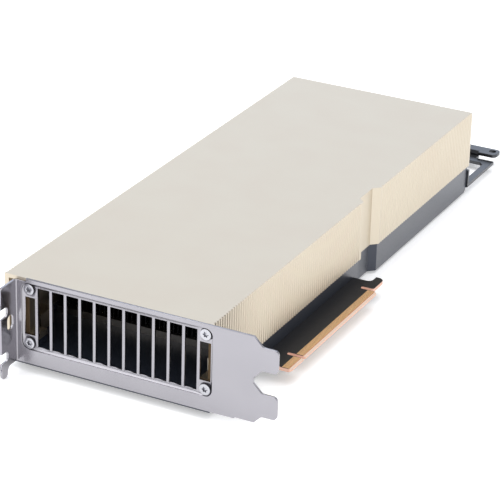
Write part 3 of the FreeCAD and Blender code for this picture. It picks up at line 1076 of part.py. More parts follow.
def rear_extender():
    """Sheet behind the card: flange, plate with windows, raised far bar and its arm."""
    body = new_body("rear_extender")
    thick = "Dim.extender_thick"
    low = f"({EXTENDER_TOP} - {thick})"
    side, end = "Dim.extender_side", "Dim.full_length"
    bar_top, bar_low = f"({EXTENDER_TOP} + Dim.joggle)", f"({low} + Dim.joggle)"
    rise = f"({end} - Dim.bar_width)"
    foot = f"({rise} - Dim.joggle_run)"
    section = new_sketch(body, "section", "YZ", EXTENDER_LEFT)
    outline(section, [
        (REAR, low), (f"{foot} + {thick} / 2", low), (f"{rise} + {thick} / 2", bar_low),
        (end, bar_low), (end, bar_top), (rise, bar_top), (foot, EXTENDER_TOP),
        (f"{REAR} + {thick}", EXTENDER_TOP), (f"{REAR} + {thick}", FLANGE_TOP),
        (REAR, FLANGE_TOP),
    ])
    extrude(body, "Pad", section, "Dim.extender_width")

    arm_left, arm_near = f"({side} - Dim.arm_reach)", f"({end} - Dim.arm_width)"
    lower_end = f"({arm_near} - Dim.arm_gap)"
    gap = new_sketch(body, "gap", "XY", low)
    box_outline(gap, arm_left, f"{side} + Dim.overcut", lower_end, f"{end} + Dim.overcut")
    extrude(body, "Pocket", gap, f"{bar_top} - {low}", plus=True)
    arm = new_sketch(body, "arm", "XY", bar_low)
    outline(arm, [
        (arm_left, arm_near), (side, arm_near, "Dim.arm_radius"),
        (side, end, "Dim.arm_radius"), (arm_left, end),
    ])
    extrude(body, "Pad", arm, thick)
    corner = new_sketch(body, "corner", "XY", low)
    outline(corner, [
        (f"{EXTENDER_LEFT} - Dim.overcut", f"{end} - Dim.far_chamfer - Dim.overcut"),
        (f"{EXTENDER_LEFT} + Dim.far_chamfer + Dim.overcut", f"{end} + Dim.overcut"),
        (f"{EXTENDER_LEFT} - Dim.overcut", f"{end} + Dim.overcut"),
    ])
    extrude(body, "Pocket", corner, f"{bar_top} - {low}", plus=True)

    gate = new_sketch(body, "socket_gate", "XY", "-Dim.seat_play")
    box_outline(gate, f"{SOCKET_LEFT} - Dim.seat_play",
                f"{SOCKET_LEFT} + {SOCKET_WIDE} + Dim.seat_play",
                f"{REAR} - Dim.overcut", f"{REAR} + {thick} + Dim.overcut")
    extrude(body, "Pocket", gate, "Dim.flange_height", plus=True)
    window = new_sketch(body, "window", "XY", low)
    pitch = "((Dim.extender_width - Dim.band_width) / Dim.window_count)"
    right = f"({side} - Dim.band_width)"
    cut_box(window, f"{right} - {pitch} + Dim.band_width", right,
            f"{REAR} + {thick} + Dim.band_width", f"{lower_end} - Dim.plate_margin",
            "Dim.frame_corner")
    cut = extrude(body, "Pocket", window, thick, plus=True)
    row = repeat(body, [cut], window, [("H_Axis", pitch, "Dim.window_count")])
    row.Reversed = True
    hole = new_sketch(body, "arm_hole", "XY", bar_low)
    circles(hole, [(f"{side} - Dim.arm_hole_inset", f"{end} - Dim.arm_hole_inset")],
            "Dim.arm_hole")
    extrude(body, "Pocket", hole, thick, plus=True)
    screws = new_sketch(body, "screw_holes", "XZ", REAR)
    facets(screws, [(FLANGE_FIRST, FLANGE_MIDDLE)], "Dim.small_shank + 2 * Dim.screw_play")
    screw_cut = extrude(body, "Pocket", screws, thick)
    repeat(body, [screw_cut], screws, [("H_Axis", FLANGE_PITCH, "Dim.far_screws")])

    fasteners = new_body("extender_screws")
    face = f"{REAR} + Dim.extender_thick"
    head = new_sketch(fasteners, "head", "XZ", face)
    facets(head, [(FLANGE_FIRST, FLANGE_MIDDLE)], "Dim.small_head", HEAD_SIDES)
    cap = extrude(fasteners, "Pad", head, "Dim.small_head_thick")
    shank = new_sketch(fasteners, "shank", "XZ", face)
    facets(shank, [(FLANGE_FIRST, FLANGE_MIDDLE)], "Dim.small_shank")
    stem = extrude(fasteners, "Pad", shank, "Dim.extender_thick + Dim.far_bite", plus=False)
    repeat(fasteners, [cap, stem], head, [("H_Axis", FLANGE_PITCH, "Dim.far_screws")])


def check_document():
    """Stop if an object failed, or if a node's shape is empty or not valid."""
    for item in doc.Objects:
        if "Invalid" in item.State or "Error" in item.State:
            raise RuntimeError(f"{item.Name} failed: {item.getStatusString()}")
    for body in NODES:
        if body.Shape.isNull() or not body.Shape.isValid():
            raise RuntimeError(f"{body.Label} has no valid shape")


io_bracket()
bracket_screws()
cover_shell()
base_frame()
backplate()
circuit_board()
edge_contacts("edge_contacts_top", "0")
edge_contacts("edge_contacts_bottom", "-Dim.board_thick - Dim.pad_thick")
processor()
cooling()
power_parts()
power_socket()
underside()
rear_extender()
doc.recompute()
check_document()
os.makedirs("parts", exist_ok=True)
for node in NODES:
    node.Shape.exportStep(f"parts/{node.Label}.step")
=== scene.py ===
"""Studio scene of a passive accelerator card.

The card's solids are the fixed frame. Every node gets the finish of its own real material, the
visible rims of the stamped sheets are rounded, and the small screws that show are made here at
their real sizes. Lengths in the dataclasses are millimetres unless a name says otherwise, and
they are turned to metres when a mesh or a pattern is made.
"""

from __future__ import annotations

import json
import logging
import math
from collections import Counter
from dataclasses import dataclass, field
from enum import Enum

import bpy
from mathutils import Matrix, Vector

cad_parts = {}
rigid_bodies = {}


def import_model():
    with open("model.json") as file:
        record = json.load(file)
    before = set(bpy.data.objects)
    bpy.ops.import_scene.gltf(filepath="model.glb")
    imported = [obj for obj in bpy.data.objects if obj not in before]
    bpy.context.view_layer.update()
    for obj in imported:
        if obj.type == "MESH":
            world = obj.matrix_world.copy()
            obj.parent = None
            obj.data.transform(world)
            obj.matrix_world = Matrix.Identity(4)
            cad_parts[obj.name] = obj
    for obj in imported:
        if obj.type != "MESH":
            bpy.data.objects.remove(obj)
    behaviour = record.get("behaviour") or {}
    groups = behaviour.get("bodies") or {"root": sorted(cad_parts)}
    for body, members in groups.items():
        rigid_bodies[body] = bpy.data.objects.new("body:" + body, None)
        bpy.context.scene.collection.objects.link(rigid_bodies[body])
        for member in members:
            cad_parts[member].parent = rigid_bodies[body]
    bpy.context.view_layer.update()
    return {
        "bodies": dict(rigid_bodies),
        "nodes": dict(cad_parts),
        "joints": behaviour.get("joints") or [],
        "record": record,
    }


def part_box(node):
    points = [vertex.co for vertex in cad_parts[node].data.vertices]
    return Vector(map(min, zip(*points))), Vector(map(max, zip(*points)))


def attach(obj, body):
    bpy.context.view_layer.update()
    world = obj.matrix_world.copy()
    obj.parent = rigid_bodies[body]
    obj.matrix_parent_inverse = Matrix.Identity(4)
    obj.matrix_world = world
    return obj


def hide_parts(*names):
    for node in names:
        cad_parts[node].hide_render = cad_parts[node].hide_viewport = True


LOG = logging.getLogger("accelerator_card")
MM = 0.001
ROOT = "root"
SMOOTH_UNDER_DEG = 35.0

SRGB_KNEE = 0.04045
SRGB_SLOPE = 12.92
SRGB_OFFSET = 0.055
SRGB_POWER = 2.4

# Sockets of a colour mix, which are numbered because their names repeat.
MIX_FACTOR = 0
MIX_FIRST = 6
MIX_SECOND = 7
MIX_RESULT = 2

# Noise gathers round a half, so only this middle part of it is spread over a whole range.
NOISE_SPAN = (0.3, 0.7)
DRIFT_DETAIL = 2.0


def srgb(code: str) -> tuple[float, float, float, float]:
    """Turn an sRGB hex colour to the linear values that a shader reads.

    Args:
        code: six hexadecimal digits.

    Returns:
        Red, green, blue and an alpha of one.
    """
    channels = [int(code[i:i + 2], 16) / 255 for i in (0, 2, 4)]
    red, green, blue = (
        c / SRGB_SLOPE if c <= SRGB_KNEE else ((c + SRGB_OFFSET) / (1 + SRGB_OFFSET)) ** SRGB_POWER
        for c in channels)
    return (red, green, blue, 1.0)


def per_metre(size_mm: float) -> float:
    """Scale of a pattern on Object coordinates whose grain has a size in millimetres."""
    return 1.0 / (size_mm * MM)


class Grain(Enum):
    """How a surface was made, which sets the way its grain is drawn out."""

    BLASTED = (1.0, 1.0, 1.0)
    BRUSHED_Y = (1.0, 0.03, 1.0)


class NodeTree:
    """One material's node tree, which ends in a single surface shader."""

    def __init__(self, name: str) -> None:
        """Start a material with an empty tree.

        Args:
            name: what the real material is.
        """
        self.material = bpy.data.materials.new(name)
        self.material.use_nodes = True
        self.tree = self.material.node_tree
        self.tree.nodes.clear()
        self.place = self.add("ShaderNodeTexCoord", {}).outputs["Object"]

    def add(self, kind: str, inputs: dict, **settings: object) -> bpy.types.Node:
        """Add a node, set its properties, and set or link its inputs.

        Args:
            kind: the node's type name.
            inputs: input name or number to a value, or to the socket that feeds it.
            settings: properties of the node.

        Returns:
            The new node.
        """
        node = self.tree.nodes.new(kind)
        for key, value in settings.items():
            setattr(node, key, value)
        for key, value in inputs.items():
            if isinstance(value, bpy.types.NodeSocket):
                self.tree.links.new(value, node.inputs[key])
            else:
                node.inputs[key].default_value = value
        return node

    def grain(self, size_mm: float, run: Grain = Grain.BLASTED,
              detail: float = 3.0) -> bpy.types.NodeSocket:
        """Make a cloudy pattern of a real size, drawn out the way the surface was worked.

        Args:
            size_mm: width of one grain.
            run: how the surface was worked.
            detail: how many finer layers lie in each grain.

        Returns:
            The pattern, from nought to one.
        """
        turned = self.add("ShaderNodeMapping", {"Vector": self.place, "Scale": run.value})
        cloud = self.add("ShaderNodeTexNoise", {
            "Vector": turned.outputs["Vector"], "Scale": per_metre(size_mm), "Detail": detail})
        return cloud.outputs["Fac"]

    def two_tone(self, pattern: bpy.types.NodeSocket, first: str, second: str,
                 span: tuple[float, float] = NOISE_SPAN) -> bpy.types.NodeSocket:
        """Let two colours run into each other along a pattern.

        Args:
            pattern: where each colour lies.
            first: colour of the pattern's low parts.
            second: colour of its high parts.
            span: the values of the pattern between which the colour changes.

        Returns:
            The colour.
        """
        share = self.add("ShaderNodeMapRange", {
            "Value": pattern, "From Min": span[0], "From Max": span[1]})
        colours = self.add("ShaderNodeMix", {
            MIX_FACTOR: share.outputs["Result"], MIX_FIRST: srgb(first), MIX_SECOND: srgb(second),
        }, data_type="RGBA")
        return colours.outputs[MIX_RESULT]

    def worked(self, pattern: bpy.types.NodeSocket, roughness: tuple[float, float],
               relief_mm: float, relief: float) -> dict:
        """Let roughness and relief follow one pattern, as on a surface worked by a tool.

        Args:
            pattern: the grain of the surface.
            roughness: its lowest and highest value.
            relief_mm: depth of the grain.
            relief: how strongly the depth is drawn.

        Returns:
            The inputs of the surface that carry them.
        """
        shine = self.add("ShaderNodeMapRange", {
            "Value": pattern, "From Min": NOISE_SPAN[0], "From Max": NOISE_SPAN[1],
            "To Min": roughness[0], "To Max": roughness[1]})
        raised = self.add("ShaderNodeBump", {
            "Height": pattern, "Distance": relief_mm * MM, "Strength": relief})
        return {"Roughness": shine.outputs["Result"], "Normal": raised.outputs["Normal"]}

    def end(self, inputs: dict) -> bpy.types.Material:
        """End the tree in its surface shader.

        Args:
            inputs: the inputs of the surface.

        Returns:
            The material, ready for a piece.
        """
        surface = self.add("ShaderNodeBsdfPrincipled", inputs)
        self.add("ShaderNodeOutputMaterial", {"Surface": surface.outputs["BSDF"]})
        return self.material


@dataclass(frozen=True)
class PaintedShadeFace:
    """A face that looks to the front from one place along Y, painted darker as the shade that
    falls on it.
    """

    colour: str
    place_mm: float
    play_mm: float = 0.05
    least_turn: float = -0.5

    def over(self, tree: NodeTree, skin: bpy.types.NodeSocket) -> bpy.types.NodeSocket:
        """Lay the darker colour, a painted shade, over a skin on this face alone.

        Args:
            tree: the material's tree.
            skin: the colour of all other faces.

        Returns:
            The colour of all faces.
        """
        normal = tree.add("ShaderNodeNewGeometry", {}).outputs["True Normal"]
        facing = tree.add("ShaderNodeSeparateXYZ", {0: normal}).outputs["Y"]
        along = tree.add("ShaderNodeSeparateXYZ", {0: tree.place}).outputs["Y"]
        near = tree.add("ShaderNodeMath", {
            0: along, 1: self.place_mm * MM, 2: self.play_mm * MM}, operation="COMPARE")
        front = tree.add("ShaderNodeMath", {0: facing, 1: self.least_turn}, operation="LESS_THAN")
        both = tree.add("ShaderNodeMath", {
            0: near.outputs[0], 1: front.outputs[0]}, operation="MINIMUM")
        return tree.add("ShaderNodeMix", {
            MIX_FACTOR: both.outputs[0], MIX_FIRST: skin, MIX_SECOND: srgb(self.colour),
        }, data_type="RGBA").outputs[MIX_RESULT]


@dataclass(frozen=True)
class Metal:
    """A bare, plated or anodised metal: a slow drift of tone and the grain of its making.

    A real grain of a tenth of a millimetre is finer than a pixel of the picture, which is 0.45 mm
    wide on the card, so it is drawn 0.3 to 0.8 mm wide.
    """

    name: str
    colour: str
    drift: str
    roughness: float
    grain: Grain = Grain.BLASTED
    grain_mm: float = 0.4
    relief_mm: float = 0.01
    relief: float = 0.05
    spread: float = 0.015
    drift_mm: float = 22.0
    drift_span: tuple[float, float] = (0.35, 0.65)
    metallic: float = 1.0
    painted_shade: PaintedShadeFace | None = None

    def build(self) -> bpy.types.Material:
        """Make the material.

        Returns:
            The material, ready for a piece.
        """
        tree = NodeTree(self.name)
        clouds = tree.grain(self.drift_mm, detail=DRIFT_DETAIL)
        skin = tree.two_tone(clouds, self.colour, self.drift, self.drift_span)
        # Painted shade on the faces that lie in the shade of another part.
        if self.painted_shade:
            skin = self.painted_shade.over(tree, skin)
        roughness = (self.roughness - self.spread, self.roughness + self.spread)
        fine = tree.grain(self.grain_mm, self.grain)
        return tree.end({"Base Color": skin, "Metallic": self.metallic,
                         **tree.worked(fine, roughness, self.relief_mm, self.relief)})


@dataclass(frozen=True)
class Moulding:
    """A moulded, painted or coated skin: a dull colour under a fine texture.

    The real texture is a few hundredths of a millimetre wide, too fine to show in the picture, so
    it is drawn 0.25 mm wide or more.
    """

    name: str
    colour: str
    drift: str
    roughness: float
    texture_mm: float = 0.5
    relief_mm: float = 0.02
    relief: float = 0.2
    smoother: float = 0.04
    rougher: float = 0.06
    drift_mm: float = 9.0
    coat: float = 0.0
    ior: float = 1.5
    tint: str = "FFFFFF"
    glow: float = 0.0

    def build(self) -> bpy.types.Material:
        """Make the material.

        Returns:
            The material, ready for a piece.
        """
        tree = NodeTree(self.name)
        clouds = tree.grain(self.drift_mm, detail=DRIFT_DETAIL)
        roughness = (self.roughness - self.smoother, self.roughness + self.rougher)
        fine = tree.grain(self.texture_mm)
        return tree.end({
            "Base Color": tree.two_tone(clouds, self.colour, self.drift),
            "IOR": self.ior,
            "Specular Tint": srgb(self.tint),
            "Emission Color": srgb(self.colour),
            "Emission Strength": self.glow,
            "Coat Weight": self.coat,
            "Coat Roughness": self.roughness,
            **tree.worked(fine, roughness, self.relief_mm, self.relief)})


@dataclass(frozen=True)
class SolderMask:
    """Glass-fibre board under black solder mask, which gives the eye a deep satin black.

    Cut edges show the pale laminate, and so does the bevel at the contacts' tips, with a copper
    line where it starts. The cloth is woven at 0.45 mm, which shows as it is.
    """

    tip_mm: float
    bevel_mm: float = 1.3
    line_mm: float = 0.22
    name: str = "glass_fibre_board"
    mask: str = "1D1D1F"
    drift: str = "212123"
    laminate: str = "E6BAA5"
    bare: str = "DCC3B0"
    line: str = "B4704A"
    weave_mm: float = 0.45
    weave_detail: float = 1.0
    relief_mm: float = 0.02
    relief: float = 0.05
    mask_roughness: float = 0.45
    cut_roughness: float = 0.6
    most_turn: float = 0.5
    ior: float = 1.35

    def build(self) -> bpy.types.Material:
        """Make the material.

        Returns:
            The material, ready for the board.
        """
        tree = NodeTree(self.name)
        across = tree.add("ShaderNodeSeparateXYZ", {0: tree.place}).outputs["X"]
        normal = tree.add("ShaderNodeNewGeometry", {}).outputs["True Normal"]
        facing = tree.add("ShaderNodeSeparateXYZ", {0: normal}).outputs["Z"]
        upright = tree.add("ShaderNodeMath", {0: facing, 1: 0.0, 2: self.most_turn},
                           operation="COMPARE").outputs[0]
        start = (self.tip_mm - self.bevel_mm) * MM
        bevel, past_line = (
            tree.add("ShaderNodeMath", {0: across, 1: edge}, operation="GREATER_THAN").outputs[0]
            for edge in (start, start + self.line_mm * MM))
        cloth = tree.grain(self.weave_mm, detail=self.weave_detail)
        skin = tree.two_tone(cloth, self.mask, self.drift)
        for part, colour in ((bevel, self.line), (past_line, self.bare), (upright, self.laminate)):
            skin = tree.add("ShaderNodeMix", {
                MIX_FACTOR: part, MIX_FIRST: skin, MIX_SECOND: srgb(colour),
            }, data_type="RGBA").outputs[MIX_RESULT]
        cut = tree.add("ShaderNodeMath", {0: bevel, 1: upright}, operation="MAXIMUM")
        shine = tree.add("ShaderNodeMapRange", {
            "Value": cut.outputs[0], "To Min": self.mask_roughness, "To Max": self.cut_roughness})
        raised = tree.add("ShaderNodeBump", {
            "Height": cloth, "Distance": self.relief_mm * MM, "Strength": self.relief})
        return tree.end({"Base Color": skin, "Roughness": shine.outputs["Result"],
                         "Normal": raised.outputs["Normal"], "IOR": self.ior})


class Finish(Enum):
    """Every finish of the card, by the real material that it is."""

    # Anodised aluminium sheet, finely blasted: an even, silky pale gold with soft light on it.
    # The front face of its ring shows only through the short windows; its dark gold-brown there is
    # painted shade from the bracket in front of it.
    COVER = Metal("anodised_aluminium_pale_gold", "CAC0AE", "C9BEAC", roughness=0.42,
                  relief=0.005, spread=0.01, painted_shade=PaintedShadeFace("4E402F", place_mm=-148.485))
    # Stamped steel with a dull nickel plating: a cool grey that mirrors the lamps as soft patches.
    BRACKET = Metal("nickel_plated_sheet_steel", "A3A1A6", "A09EA3", roughness=0.25, relief=0.02)
    # Steel with dark passivated zinc: charcoal grey with a metal's sheen.
    EXTENDER = Metal("zinc_plated_sheet_steel", "525355", "4F5052", roughness=0.3, relief=0.03)
    # Black casting under a clear coat: nearly black, and slate blue where it is seen at a low
    # angle.
    FRAME = Moulding("clear_coated_casting", "20242D", "232730", roughness=0.35,
                     texture_mm=0.65, relief=0.01, coat=0.7, tint="C8D2EE")
    # Powder paint on sheet steel: dull black with a slight orange peel.
    BACKPLATE = Moulding("black_painted_sheet", "222224", "29292B", roughness=0.4, texture_mm=0.5)
    # Hard gold over nickel: a warm, soft orange sheen.
    CONTACT = Metal("hard_gold_plating", "FBD4A4", "F8CF9C", roughness=0.55, relief=0.01)
    # Turned stainless steel: the brightest metal of the card.
    SCREW = Metal("stainless_screw_steel", "BDBDC2", "B1B1B6", roughness=0.25, grain_mm=0.3)
    # Black oxide on turned steel: dark grey with a faint shine.
    DARK_SCREW = Metal("black_oxide_screw_steel", "3A3A3E", "313135", roughness=0.33,
                       grain_mm=0.3)
    # Laminate under thin green lacquer: dark green with a light gloss.
    SUBSTRATE = Moulding("package_substrate", "2E5138", "284931", roughness=0.35,
                         texture_mm=0.6, coat=0.2)
    # Ground and polished silicon: a dark blue-grey mirror.
    SILICON = Moulding("polished_silicon", "3A3E48", "434854", roughness=0.12, texture_mm=2.0,
                       relief=0.02, ior=2.4)
    # Nickel-plated copper, brushed: warm grey with lines along the card.
    STIFFENER = Metal("nickel_plated_copper", "B9B7B2", "AFADA8", roughness=0.3,
                      grain=Grain.BRUSHED_Y)
    # Filled silicone rubber: flat grey without a highlight.
    THERMAL_PAD = Moulding("silicone_thermal_pad", "8E949C", "858B93", roughness=0.7,
                           texture_mm=0.5)
    # Plated copper plate, brushed: a warmer and darker grey.
    COLD_PLATE = Metal("plated_vapour_chamber", "8F8B86", "85817C", roughness=0.33,
                       grain=Grain.BRUSHED_Y)
    # Rolled aluminium strip with a black coating: dull black with lines along the air's way.
    FIN = Metal("black_coated_fin_stock", "2B2B2D", "272729", roughness=0.5,
                grain=Grain.BRUSHED_Y, grain_mm=0.8)
    # Pressed iron powder: dark grey and rough, like fine sand.
    FERRITE = Moulding("pressed_iron_powder", "47474A", "404043", roughness=0.62,
                       texture_mm=0.25, relief=0.4)
    # Filled epoxy from a spark-eroded mould: even, dull black.
    EPOXY = Moulding("black_moulding_compound", "1F1F21", "262628", roughness=0.55,
                     texture_mm=0.3)
    # Injection-moulded nylon: satin black.
    SOCKET = Moulding("black_nylon_moulding", "1C1C1D", "222223", roughness=0.45, texture_mm=0.6)
    # Tin over brass: pale, slightly yellow metal.
    PIN = Metal("tin_plated_brass", "D6C9A8", "CFC19D", roughness=0.28, grain_mm=0.3)
    # Drawn polyester film: smooth black with a plain sheen.
    FILM = Moulding("black_polyester_film", "161617", "1B1B1C", roughness=0.3, texture_mm=1.5,
                    relief=0.05)


DRESSED = {
    Finish.COVER: ("cover_shell",),
    Finish.BRACKET: ("io_bracket",),
    Finish.EXTENDER: ("rear_extender",),
    Finish.FRAME: ("base_frame",),
    Finish.BACKPLATE: ("backplate",),
    Finish.CONTACT: ("edge_contacts_top", "edge_contacts_bottom"),
    Finish.SCREW: ("bracket_screws", "retention_screws", "board_screws", "cover_screws",
                   "retention_plate"),
    Finish.SUBSTRATE: ("processor_substrate",),
    Finish.SILICON: ("processor_die", "memory_stacks"),
    Finish.STIFFENER: ("package_ring",),
    Finish.THERMAL_PAD: ("thermal_interface", "choke_pads"),
    Finish.COLD_PLATE: ("cold_plate",),
    Finish.FIN: ("heatsink_fins",),
    Finish.FERRITE: ("power_chokes",),
    Finish.EPOXY: ("power_stages", "bulk_capacitors", "controller_chips"),
    Finish.SOCKET: ("power_socket",),
    Finish.PIN: ("power_pins",),
    Finish.FILM: ("insulating_sheet",),
}


def deselect() -> None:
    """Leave edit mode and select nothing."""
    if bpy.context.mode != "OBJECT":
        bpy.ops.object.mode_set(mode="OBJECT")
    bpy.ops.object.select_all(action="DESELECT")


def activate(piece: bpy.types.Object) -> None:
    """Make one piece the only selected and active one.

    Args:
        piece: the piece to work on.
    """
    deselect()
    piece.select_set(True)
    bpy.context.view_layer.objects.active = piece


def edit(piece: bpy.types.Object, mode: str) -> None:
    """Go to edit mode on one piece.

    Args:
        piece: the piece to work on.
        mode: what is selected there, vertices, edges or faces.
    """
    activate(piece)
    bpy.ops.object.mode_set(mode="EDIT")
    bpy.ops.mesh.select_mode(type=mode)


def apply_all(piece: bpy.types.Object) -> None:
    """Apply a piece's modifiers in order.

    Args:
        piece: the piece to finish.
    """
    activate(piece)
    for modifier in list(piece.modifiers):
        bpy.ops.object.modifier_apply(modifier=modifier.name)


def settle(piece: bpy.types.Object) -> None:
    """Move a piece's place and turn into its mesh, so its object sits at the origin."""
    activate(piece)
    bpy.ops.object.transform_apply(location=True, rotation=True, scale=True)


def solid_places(node: bpy.types.Object, reach_mm: float) -> list[Vector]:
    """Find the middles of a node's separate solids, by gathering vertices that lie close.

    Args:
        node: the node, several like solids in one mesh.
        reach_mm: how far apart two vertices of one solid may be.

    Returns:
        One middle for each solid.
    """
    groups: list[list[Vector]] = []
    for vertex in node.data.vertices:
        for group in groups:
            if (group[0] - vertex.co).length < reach_mm * MM:
                group.append(vertex.co.copy())
                break
        else:
            groups.append([vertex.co.copy()])
    middles = []
    for group in groups:
        low = Vector([min(point[axis] for point in group) for axis in range(3)])
        high = Vector([max(point[axis] for point in group) for axis in range(3)])
        middles.append((low + high) / 2)
    return middles


@dataclass(frozen=True)
class SmallScrews:
    """The visible small screws of one node: turned heads with a six-lobe recess."""

    node: str
    name: str
    finish: Finish
    outward: tuple[float, float, float]
    flush: bool
    head_mm: float = 4.0
    head_thick_mm: float = 0.6
    shank_mm: float = 2.0
    recess_mm: float = 1.7
    recess_depth_mm: float = 0.45
    edge_mm: float = 0.1
    edge_segments: int = 2
    edge_over_deg: float = 50.0
    lobes: int = 6
    waist: float = 0.62
    sides: int = 32
    downward: float = -0.9

    def blank(self, length_mm: float) -> bpy.types.Object:
        """Turn a screw without a recess, its head's face at Z = 0 and its shank below.

        Args:
            length_mm: from the face of the head to the tip of the shank.

        Returns:
            The blank at the origin.
        """
        deselect()
        ledge_mm = (self.head_mm - self.shank_mm) / 2
        body_mm = ledge_mm if self.flush else self.head_thick_mm
        bpy.ops.mesh.primitive_cylinder_add(
            vertices=self.sides, radius=self.head_mm / 2 * MM, depth=body_mm * MM,
            location=(0, 0, -body_mm / 2 * MM))
        screw = bpy.context.active_object
        edit(screw, "FACE")
        bpy.ops.mesh.select_all(action="DESELECT")
        bpy.ops.object.mode_set(mode="OBJECT")
        for face in screw.data.polygons:
            face.select = face.normal.z < self.downward
        bpy.ops.object.mode_set(mode="EDIT")
        if self.flush:
            ratio = self.shank_mm / self.head_mm
            bpy.ops.transform.resize(value=(ratio, ratio, 1))
        else:
            bpy.ops.mesh.inset(thickness=ledge_mm * MM)
        bpy.ops.mesh.extrude_region_move(
            TRANSFORM_OT_translate={"value": (0, 0, -(length_mm - body_mm) * MM)})
        bpy.ops.object.mode_set(mode="OBJECT")
        return screw

    def recess(self) -> bpy.types.Object:
        """Make the cutter of the recess, a star prism whose lower end sits inside the head.

        Returns:
            The cutter, its middle at the head's face.
        """
        deselect()
        bpy.ops.mesh.primitive_cylinder_add(
            vertices=2 * self.lobes, radius=self.recess_mm / 2 * MM,
            depth=2 * self.recess_depth_mm * MM, location=(0, 0, 0))
        cutter = bpy.context.active_object
        for vertex in cutter.data.vertices:
            turn = round(math.atan2(vertex.co.y, vertex.co.x) / (math.pi / self.lobes))
            if turn % 2:
                vertex.co.x *= self.waist
                vertex.co.y *= self.waist
        return cutter

    def one(self, length_mm: float) -> bpy.types.Object:
        """Make one whole screw.

        Args:
            length_mm: from the face of the head to the tip of the shank.

        Returns:
            The finished screw at the origin.
        """
        screw = self.blank(length_mm)
        cutter = self.recess()
        cut = screw.modifiers.new("recess", "BOOLEAN")
        cut.operation = "DIFFERENCE"
        cut.object = cutter
        cut.solver = "EXACT"
        edge = screw.modifiers.new("edge", "BEVEL")
        edge.width = self.edge_mm * MM
        edge.segments = self.edge_segments
        edge.limit_method = "ANGLE"
        edge.angle_limit = math.radians(self.edge_over_deg)
        apply_all(screw)
        bpy.data.objects.remove(cutter)
        return screw

    def placed(self, model: bpy.types.Object, places: list[Vector],
               length_mm: float) -> list[bpy.types.Object]:
        """Copy a screw to each of its places.

        Args:
            model: the finished screw at the origin, which becomes the first one.
            places: the middles of all screws.
            length_mm: length of a screw.

        Returns:
            The screws, each with a mesh of its own.
        """
        outward = Vector(self.outward)
        screws = [model]
        for _ in places[1:]:
            copy = model.copy()
            copy.data = model.data.copy()
            bpy.context.collection.objects.link(copy)
            screws.append(copy)
        for screw, place in zip(screws, places):
            screw.rotation_mode = "QUATERNION"
            screw.rotation_quaternion = Vector((0, 0, 1)).rotation_difference(outward)
            screw.location = place + outward * (length_mm / 2 * MM)
        return screws

    def build(self, frame: dict) -> bpy.types.Object:
        """Make the screw once, copy it to each place of its node, and join the copies.

        Args:
            frame: the loaded frame.

        Returns:
            One object that stands for the node.
        """
        low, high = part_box(self.node)
        along = max(range(3), key=lambda axis: abs(self.outward[axis]))
        length_mm = (Vector(high) - Vector(low))[along] / MM
        model = self.one(length_mm)
        places = solid_places(frame["nodes"][self.node], length_mm + self.head_mm)
        screws = self.placed(model, places, length_mm)
        activate(model)
        for screw in screws:
            screw.select_set(True)
        bpy.ops.object.join()
        piece = bpy.context.active_object
        piece.name = self.name
        settle(piece)
        bpy.ops.object.shade_smooth_by_angle(angle=math.radians(SMOOTH_UNDER_DEG))
        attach(piece, ROOT)
        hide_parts(self.node)
        return piece


@dataclass(frozen=True)
class Side:
    """A flat side of a piece: its outward normal and its distance from the origin."""

    outward: tuple[float, float, float]
    distance_mm: float
    play_mm: float = 0.02
    least_match: float = 0.99

    def holds(self, face: bpy.types.MeshPolygon) -> bool:
        """Tell whether a face lies on this side.

        Args:
            face: a face of the piece's mesh.

        Returns:
            True if it faces the same way at the same distance.
        """
        outward = Vector(self.outward)
        offset = abs(face.center.dot(outward) - self.distance_mm * MM)
        return face.normal.dot(outward) > self.least_match and offset < self.play_mm * MM


@dataclass(frozen=True)
class RoundedSheet:
    """A sheet-metal node whose visible sides get the small rounded rims of a stamping."""

    node: str
    name: str
    sides: tuple[Side, ...]
    edge_mm: float = 0.16
    segments: int = 3
    weld_mm: float = 0.002
    flat_under_deg: float = 1.0

    def make_whole(self, piece: bpy.types.Object, side: Side) -> None:
        """Join the loose triangles of one side.

        Args:
            piece: the copy of the node.
            side: one of its sides.
        """
        edit(piece, "FACE")
        bpy.ops.mesh.select_all(action="DESELECT")
        deselect()
        for face in piece.data.polygons:
            face.select = side.holds(face)
        edit(piece, "FACE")
        bpy.ops.mesh.dissolve_limited(angle_limit=math.radians(self.flat_under_deg))
        deselect()

    def round_rim(self, piece: bpy.types.Object, side: Side) -> None:
        """Round the outline and the holes of one side.

        Args:
            piece: the copy of the node.
            side: one of its sides.
        """
        edit(piece, "EDGE")
        bpy.ops.mesh.select_all(action="DESELECT")
        deselect()
        uses = Counter(key for face in piece.data.polygons if side.holds(face)
                       for key in face.edge_keys)
        for edge in piece.data.edges:
            edge.select = uses[edge.key] == 1
        edit(piece, "EDGE")
        bpy.ops.mesh.bevel(offset=self.edge_mm * MM, segments=self.segments,
                           affect="EDGES", clamp_overlap=False)
        deselect()

    def build(self, frame: dict) -> bpy.types.Object:
        """Copy the node, merge its triangles, and round the rims of its sides.

        Args:
            frame: the loaded frame.

        Returns:
            One object that stands for the node.
        """
        piece = bpy.data.objects.new(self.name, frame["nodes"][self.node].data.copy())
        bpy.context.collection.objects.link(piece)
        edit(piece, "VERT")
        bpy.ops.mesh.select_all(action="SELECT")
        bpy.ops.mesh.remove_doubles(threshold=self.weld_mm * MM)
        deselect()
        for side in self.sides:
            self.make_whole(piece, side)
        for side in self.sides:
            self.round_rim(piece, side)
        activate(piece)
        bpy.ops.object.shade_smooth_by_angle(angle=math.radians(SMOOTH_UNDER_DEG))
        for face in piece.data.polygons:
            if any(side.holds(face) for side in self.sides):
                face.use_smooth = False
        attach(piece, ROOT)
        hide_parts(self.node)
        LOG.info("%s stands for %s", piece.name, self.node)
        return piece


